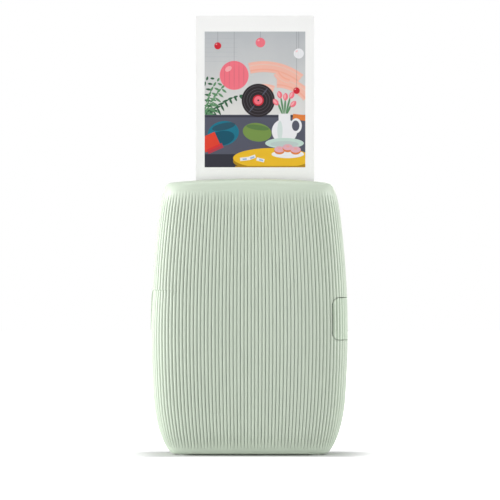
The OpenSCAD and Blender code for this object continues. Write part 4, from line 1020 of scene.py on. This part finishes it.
# %% The still life
WALL_LIGHT, WALL_GREY = tone(222, 221, 218), tone(176, 181, 186)
CORAL, CORAL_DEEP = tone(247, 184, 164), tone(240, 160, 136)
PINK, PINK_LIGHT, RED = tone(242, 118, 132), tone(250, 190, 190), tone(206, 40, 54)
LEAF_DARK, LEAF_MID, LEAF_PALE = tone(48, 92, 62), tone(92, 140, 98), tone(150, 178, 150)
SLATE, SLATE_DARK = tone(82, 84, 98), tone(44, 44, 54)
TEAL, TEAL_DARK = tone(24, 112, 134), tone(14, 78, 98)
ORANGE, ORANGE_RED = tone(224, 128, 62), tone(222, 66, 46)
OLIVE, YELLOW, YELLOW_DARK = tone(116, 144, 72), tone(236, 188, 44), tone(176, 134, 22)
GROOVE_GREY = tone(84, 80, 86)
PAPER, MINT, SUGAR, NIGHT = tone(238, 238, 240), tone(196, 218, 208), tone(226, 174, 186), tone(34, 28, 32)
CARD_BLUE = tone(150, 180, 220)


def wall_color(tree):
    """A pale plastered wall that turns grey upwards."""
    height = tree.nodes.new("ShaderNodeSeparateXYZ")
    tree.links.new(place_node(tree.nodes), height.inputs["Vector"])
    shade = math_node(tree, "MULTIPLY_ADD", height.outputs["Z"], 22.0, -3.45, clamp=True)
    cloud = noise(tree.nodes, tree.links, place_node(tree.nodes), 70, 3)
    shade = math_node(tree, "ADD", shade, math_node(tree, "MULTIPLY_ADD", cloud, 0.3, -0.15), clamp=True)
    base = tree.nodes.new("ShaderNodeMix")
    base.data_type = "RGBA"
    base.inputs[6].default_value = (*WALL_LIGHT, 1)
    base.inputs[7].default_value = (*WALL_GREY, 1)
    tree.links.new(shade, base.inputs["Factor"])
    return base.outputs[2]


def paint_wall(art):
    """Faint courses of brick, and loose coral brush strokes."""
    for row in range(7):
        art.paint("bar", (-16, 30 - 2.1 * row), (16, 0.28), WALL_GREY, strength=0.35)
    for place, radius, thick, turn in (((4, -12), 27, 5.0, 78), ((10, -10), 18, 5.2, 64),
                                       ((4, -8), 13, 4.2, 96), ((17, 16), 8, 3.4, 235)):
        art.paint("stroke", place, (thick, radius), CORAL, turn, 0.9)
        art.paint("stroke", place, (0.7, radius - thick / 4), CORAL_DEEP, turn, 0.5)
        art.paint("stroke", place, (0.5, radius + thick / 5), WALL_LIGHT, turn, 0.3)


def paint_plant(art):
    """A fern on the left: each frond is a row of narrow leaves."""
    for turn, color in ((58, LEAF_PALE), (4, LEAF_MID), (34, LEAF_DARK), (-22, LEAF_DARK), (18, LEAF_MID)):
        for step in range(1, 9):
            way = math.radians(90 + turn - 4 * step)
            x, z = -20 + 2.3 * step * math.cos(way), -10 + 2.4 * step * math.sin(way)
            for side in (-1, 1):
                art.paint("leaf", (x + side * 1.2, z + 0.4), (1.0, 5.2 - 0.4 * step), color, turn + side * 48)


def paint_balls(art):
    """Round paper balls that hang on strings."""
    for x, z, radius, color in ((-9.5, 11, 6.6, PINK), (2.5, 26, 2.2, PINK), (-17, 24.5, 1.6, RED),
                                (19, 4, 1.5, RED), (20, 21, 2.3, PAPER)):
        art.paint("bar", (x, (z + 31) / 2), (0.18, 31 - z), SLATE, strength=0.5)
        art.paint("oval", (x, z), (radius, radius), color)
        for fold in (-0.66, -0.33, 0, 0.33, 0.66):
            high = radius * math.sqrt(1 - fold ** 2)
            art.paint("oval", (x + fold * radius, z), (0.03 * radius, high), NIGHT, strength=0.14)
        art.paint("oval", (x - 0.4 * radius, z + 0.45 * radius), (0.25 * radius, 0.16 * radius), PINK_LIGHT,
                  35, 0.7)


def paint_sideboard(art):
    """A slate sideboard with bowls and folded cloths on it."""
    art.paint("bar", (0, -19), (48, 24), SLATE)
    art.paint("bar", (0, -7.7), (48, 0.9), SLATE_DARK, strength=0.8)
    art.paint("bar", (0, -28), (48, 6), SLATE_DARK)
    art.paint("oval", (-14.5, -15.5), (7.2, 5.6), TEAL, 12)
    art.paint("oval", (-15.5, -17.8), (6.2, 3.3), TEAL_DARK, 12)
    art.paint("oval", (-14.3, -12.4), (5.4, 1.6), SLATE_DARK, 12, 0.6)
    art.paint("bar", (-20.5, -19.5), (7.5, 7), ORANGE_RED, 24)
    art.paint("bar", (-18.2, -22.4), (7.5, 2.2), RED, 24, 0.7)
    art.paint("oval", (1.0, -15.0), (6.6, 4.2), OLIVE, -8)
    art.paint("oval", (1.2, -12.8), (5.2, 1.2), LEAF_DARK, -8, 0.5)
    art.paint("bar", (20.5, -8.2), (6.4, 2.6), ORANGE, -6)


def paint_record(art):
    """A black record that stands on the sideboard, with shining grooves and a red label."""
    for radius, color in ((7.6, NIGHT), (6.7, GROOVE_GREY), (6.55, NIGHT), (5.3, GROOVE_GREY), (5.15, NIGHT),
                          (4.0, GROOVE_GREY), (3.85, NIGHT), (2.5, RED), (1.9, PINK), (0.4, NIGHT)):
        art.paint("oval", (1.5, -0.4), (radius, radius), color)
    for turn in (-38, 142):
        way = math.radians(90 + turn)
        x, z = 1.5 + 4.9 * math.cos(way), -0.4 + 4.9 * math.sin(way)
        art.paint("leaf", (x, z), (0.7, 4.6), SLATE, turn, 0.8)


def paint_jug(art):
    """A white jug of pink buds on a mint saucer."""
    for turn, reach_up in ((-38, 13), (-16, 16), (4, 14), (24, 16.5), (42, 12)):
        way = math.radians(90 - turn)
        x, z = 13.5 + 0.5 * reach_up * math.cos(way), -8 + 0.66 * reach_up * math.sin(way)
        art.paint("leaf", ((x + 13.5) / 2, (z - 7) / 2), (0.9, reach_up * 0.62), LEAF_MID, -turn * 0.6)
        art.paint("leaf", (x, z), (2.3, 3.6), PINK, -turn)
        art.paint("leaf", (x - 0.3, z + 0.2), (0.9, 2.6), PINK_LIGHT, -turn, 0.7)
    art.paint("bar", (13.5, -9.5), (5.4, 6), PAPER)
    art.paint("oval", (13.5, -14.5), (5.8, 5.6), PAPER)
    art.paint("oval", (18.8, -12), (2.6, 3.4), PAPER)
    art.paint("oval", (18.6, -12), (1.7, 2.4), SLATE)
    art.paint("oval", (11.4, -14.2), (1.2, 4.4), MINT, strength=0.6)
    art.paint("oval", (13.5, -20.0), (8.8, 2.4), MINT)
    art.paint("oval", (13.5, -20.4), (6.4, 1.4), WALL_GREY, strength=0.4)


def paint_table(art):
    """A round yellow table with a plate of sweets and some folded cards."""
    art.paint("oval", (8, -28.2), (18, 4.6), YELLOW_DARK)
    art.paint("oval", (8, -26.8), (18, 4.6), YELLOW)
    art.paint("oval", (15, -25), (7.4, 1.8), PAPER)
    for x, z in ((11.2, -23.4), (15, -22.4), (18.6, -23.5)):
        art.paint("oval", (x, z), (2.4, 1.7), ORANGE)
        art.paint("oval", (x, z + 0.6), (2.3, 1.4), SUGAR)
        art.paint("oval", (x, z + 0.9), (0.8, 0.4), CORAL_DEEP, strength=0.6)
    for x, z, turn in ((-1.5, -26.5, 20), (2.5, -27.6, -14), (-5.0, -27.2, 6)):
        art.paint("bar", (x, z), (3.6, 1.5), PAPER, turn)
        art.paint("bar", (x + 0.3, z - 0.1), (1.9, 0.7), CARD_BLUE, turn)
    art.paint("bar", (8, -31.0), (34, 1.2), YELLOW_DARK)


sheet_mid_x = (sheet_low.x + sheet_high.x) / 2
PICTURE_W, PICTURE_H = 46.0, 62.0
PICTURE_TOP = 7.3                   # white border above the picture
picture_z = sheet_high.z - PICTURE_TOP - PICTURE_H / 2


def print_material():
    """The picture in its white border on the front, and black film in a frame on the back."""
    material, nodes, links, shader = new_material("instant_print")
    art = Picture(material.node_tree, (sheet_mid_x, picture_z), wall_color(material.node_tree))
    for painter in (paint_wall, paint_plant, paint_balls, paint_sideboard, paint_record, paint_jug,
                    paint_table):
        painter(art)
    grain = noise(nodes, links, place_node(nodes), 2400, 2)
    picture = art.color
    art.color = mottled(nodes, links, grain, tone(249, 249, 247), tone(251, 251, 249))
    art.paint("bar", (0, 0), (PICTURE_W, PICTURE_H), picture)
    front = art.color
    art.color = mottled(nodes, links, grain, tone(226, 226, 223), tone(230, 230, 227))
    art.paint("bar", (0, 0), (PICTURE_W + 3, PICTURE_H + 3), tone(30, 30, 32))
    art.paint("bar", (0, 0), (PICTURE_W, PICTURE_H), tone(38, 38, 41))
    sides = nodes.new("ShaderNodeMix")
    sides.data_type = "RGBA"
    split = nodes.new("ShaderNodeSeparateXYZ")
    links.new(place_node(nodes), split.inputs["Vector"])
    middle = (sheet_low.y + sheet_high.y) / 2 * MM
    is_back = math_node(material.node_tree, "GREATER_THAN", split.outputs["Y"], middle)
    links.new(is_back, sides.inputs["Factor"])
    links.new(front, sides.inputs[6])
    links.new(art.color, sides.inputs[7])
    links.new(sides.outputs[2], shader.inputs["Base Color"])
    links.new(spread(nodes, links, grain, 0.44, 0.52), shader.inputs["Roughness"])
    shader.inputs["Specular IOR Level"].default_value = 0.2
    bump(nodes, links, grain, 2e-6, shader)
    return material


instant_print = print_material()
print("picture of", len(instant_print.node_tree.nodes), "shader nodes")

# %% [markdown]
# The sheet itself is a thin card with slightly rounded corners, of the size of its construction piece. It
# replaces that piece because only a piece made here can carry the picture.

# %% The sheet in the slot
CARD_R = 0.6
card = block("print_card", sheet_low, sheet_high)
pick_edges_along(card, 1)
bpy.ops.mesh.bevel(offset=CARD_R * MM, segments=4, affect="EDGES")
done()
tidy_mesh(card, 40)
card.data.materials.append(instant_print)
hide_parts("photo_print")
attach(card, "print")
print("print stands", round(sheet_high.z - BODY_H, 1), "mm above the casing")

# %% [markdown]
# Every construction piece names the stuff it is made of, so one table gives each its finish. A piece made
# here takes the finish of the construction piece that it replaces.

# %% Giving every construction piece its finish
FINISH = {
    "shell": shell_plastic, "button": button_plastic, "frame": frame_plastic, "feet": foot_rubber,
    "trim": trim_plastic, "dark_plastic": black_plastic, "gear": gear_plastic, "steel": ground_steel,
    "spring": spring_steel, "brass": turned_brass, "rubber": roller_rubber, "foam": pad_foam,
    "film": film_surface, "print": film_surface, "glass": lens_glass, "board": board_mask,
    "chip": chip_plastic, "cell": pouch_foil, "wire": wire_rubber,
}
for part in frame["record"]["subparts"]:
    mesh = frame["nodes"][part["node"]].data
    mesh.materials.clear()
    mesh.materials.append(FINISH[part["material_slot"]])
for piece, name in ((ribbed_casing, "shell"), (power_button, "button"), (door, "shell"),
                    (rear_frame, "frame"), (cassette, "dark_plastic")):
    piece.data.materials.clear()
    piece.data.materials.append(FINISH[name])
mark.data.materials.append(mark_paint)

# %% [markdown]
# ## Stage, light and camera
# The printer stands on a white floor that keeps only the shadow close to it. A big soft light stands low on
# the left and a weaker one on the right, so that they graze the front and every rib gets a bright side and
# a dark one. Weak lights from the front, from above and from behind fill what they leave.

# %% The white floor
GLOW_RUN = 0.036                    # how far from the footprint the glow reaches its full strength
UNDER_X, UNDER_Y = 7, 2             # the footprint's edge lies this far inside the belly, in millimetres


def seen_rays(tree):
    """1 for what the camera sees, straight or in a mirror or through glass."""
    ray = tree.nodes.new("ShaderNodeLightPath")
    mirrored = math_node(tree, "ADD", ray.outputs["Is Glossy Ray"], ray.outputs["Is Transmission Ray"])
    return math_node(tree, "ADD", ray.outputs["Is Camera Ray"], mirrored, clamp=True)


def white_floor():
    """White paper that glows for the camera, except near the printer, where its shadow falls."""
    material, nodes, links, shader = new_material("white_floor")
    tree = material.node_tree
    grain = noise(nodes, links, place_node(nodes), 400)
    links.new(mottled(nodes, links, grain, (0.74,) * 3, (0.75,) * 3), shader.inputs["Base Color"])
    shader.inputs["Roughness"].default_value = 0.9
    shader.inputs["Specular IOR Level"].default_value = 0.0
    shader.inputs["Emission Color"].default_value = (1, 1, 1, 1)
    split = nodes.new("ShaderNodeSeparateXYZ")
    links.new(place_node(nodes), split.inputs["Vector"])
    squares = []
    for way, half in ((split.outputs["X"], HALF_W - UNDER_X), (split.outputs["Y"], HALF_D - UNDER_Y)):
        beyond = math_node(tree, "SUBTRACT", math_node(tree, "ABSOLUTE", way), half * MM)
        beyond = math_node(tree, "MAXIMUM", beyond, 0.0)
        squares.append(math_node(tree, "MULTIPLY", beyond, beyond))
    away = nodes.new("ShaderNodeMapRange")
    away.interpolation_type = "SMOOTHSTEP"
    away.inputs["From Min"].default_value = 0.0
    away.inputs["From Max"].default_value = GLOW_RUN
    links.new(math_node(tree, "SQRT", math_node(tree, "ADD", *squares)), away.inputs["Value"])
    glow = math_node(tree, "MULTIPLY", away.outputs["Result"], seen_rays(tree))
    links.new(glow, shader.inputs["Emission Strength"])
    return material


bpy.ops.mesh.primitive_plane_add(size=6, location=(0, 0, 0))
floor = settle(bpy.context.object, "floor")
floor.data.materials.append(white_floor())
print("floor glows from", round(GLOW_RUN / MM), "mm off the printer")

# %% [markdown]
# The world is white where the camera looks at it, but lights the printer only dimly. Mixing two
# backgrounds by the kind of ray does both.

# %% The white world and the lamps
world = bpy.data.worlds.new("studio")
world.use_nodes = True
bpy.context.scene.world = world
tree = world.node_tree
background = tree.nodes["Background"]
background.inputs["Color"].default_value = (0.95, 0.97, 1, 1)
background.inputs["Strength"].default_value = 0.18
backdrop = tree.nodes.new("ShaderNodeBackground")
backdrop.inputs["Color"].default_value = (1, 1, 1, 1)
backdrop.inputs["Strength"].default_value = 1.0
mix = tree.nodes.new("ShaderNodeMixShader")
tree.links.new(seen_rays(tree), mix.inputs["Fac"])
tree.links.new(background.outputs["Background"], mix.inputs[1])
tree.links.new(backdrop.outputs["Background"], mix.inputs[2])
tree.links.new(mix.outputs["Shader"], tree.nodes["World Output"].inputs["Surface"])
AIM = Vector((0, 0, 0.08))          # every lamp points at this spot, a little above the middle


def soft_light(name, place, size, power):
    bpy.ops.object.light_add(type="AREA", location=place)
    lamp = bpy.context.object
    lamp.name = name
    lamp.data.shape = "RECTANGLE"
    lamp.data.size, lamp.data.size_y = size
    lamp.data.energy = power
    lamp.rotation_mode = "QUATERNION"
    lamp.rotation_quaternion = (Vector(place) - AIM).to_track_quat("Z", "Y")


def round_the_printer(azimuth, height, distance=1.5):
    """A place at that azimuth from the front, counted to the right."""
    turn = math.radians(azimuth)
    return (distance * math.sin(turn), -distance * math.cos(turn), height)


soft_light("left side", round_the_printer(-79, 0.32), (1.3, 1.0), 35.0)
soft_light("right side", round_the_printer(76, 0.28), (0.8, 0.9), 18.0)
soft_light("front", round_the_printer(-10, 0.55), (0.5, 0.4), 2.5)
soft_light("top", (0.0, -0.1, 1.3), (0.8, 0.6), 4.2)
soft_light("back", round_the_printer(168, 0.5), (0.7, 0.5), 5.0)

# %% [markdown]
# The camera stands two metres off with a long lens and looks straight at the front, so that the printer
# shows almost without perspective.

# %% The camera
CAMERA_X, CAMERA_Y, CAMERA_Z = 0.00023, -2.0, 0.0935
FRAME_WIDTH = 0.2286                # width of the view at the front of the printer
FRONT_Y = -0.002
SENSOR = 36
bpy.ops.object.camera_add(location=(CAMERA_X, CAMERA_Y, CAMERA_Z), rotation=(math.radians(90), 0, 0))
camera = bpy.context.object
camera.name = "camera"
camera.data.sensor_width = SENSOR
camera.data.lens = SENSOR * (FRONT_Y - CAMERA_Y) / FRAME_WIDTH
camera.data.clip_end = 20
bpy.context.scene.camera = camera
bpy.context.scene.view_settings.view_transform = "Standard"
print("lens", round(camera.data.lens), "mm")
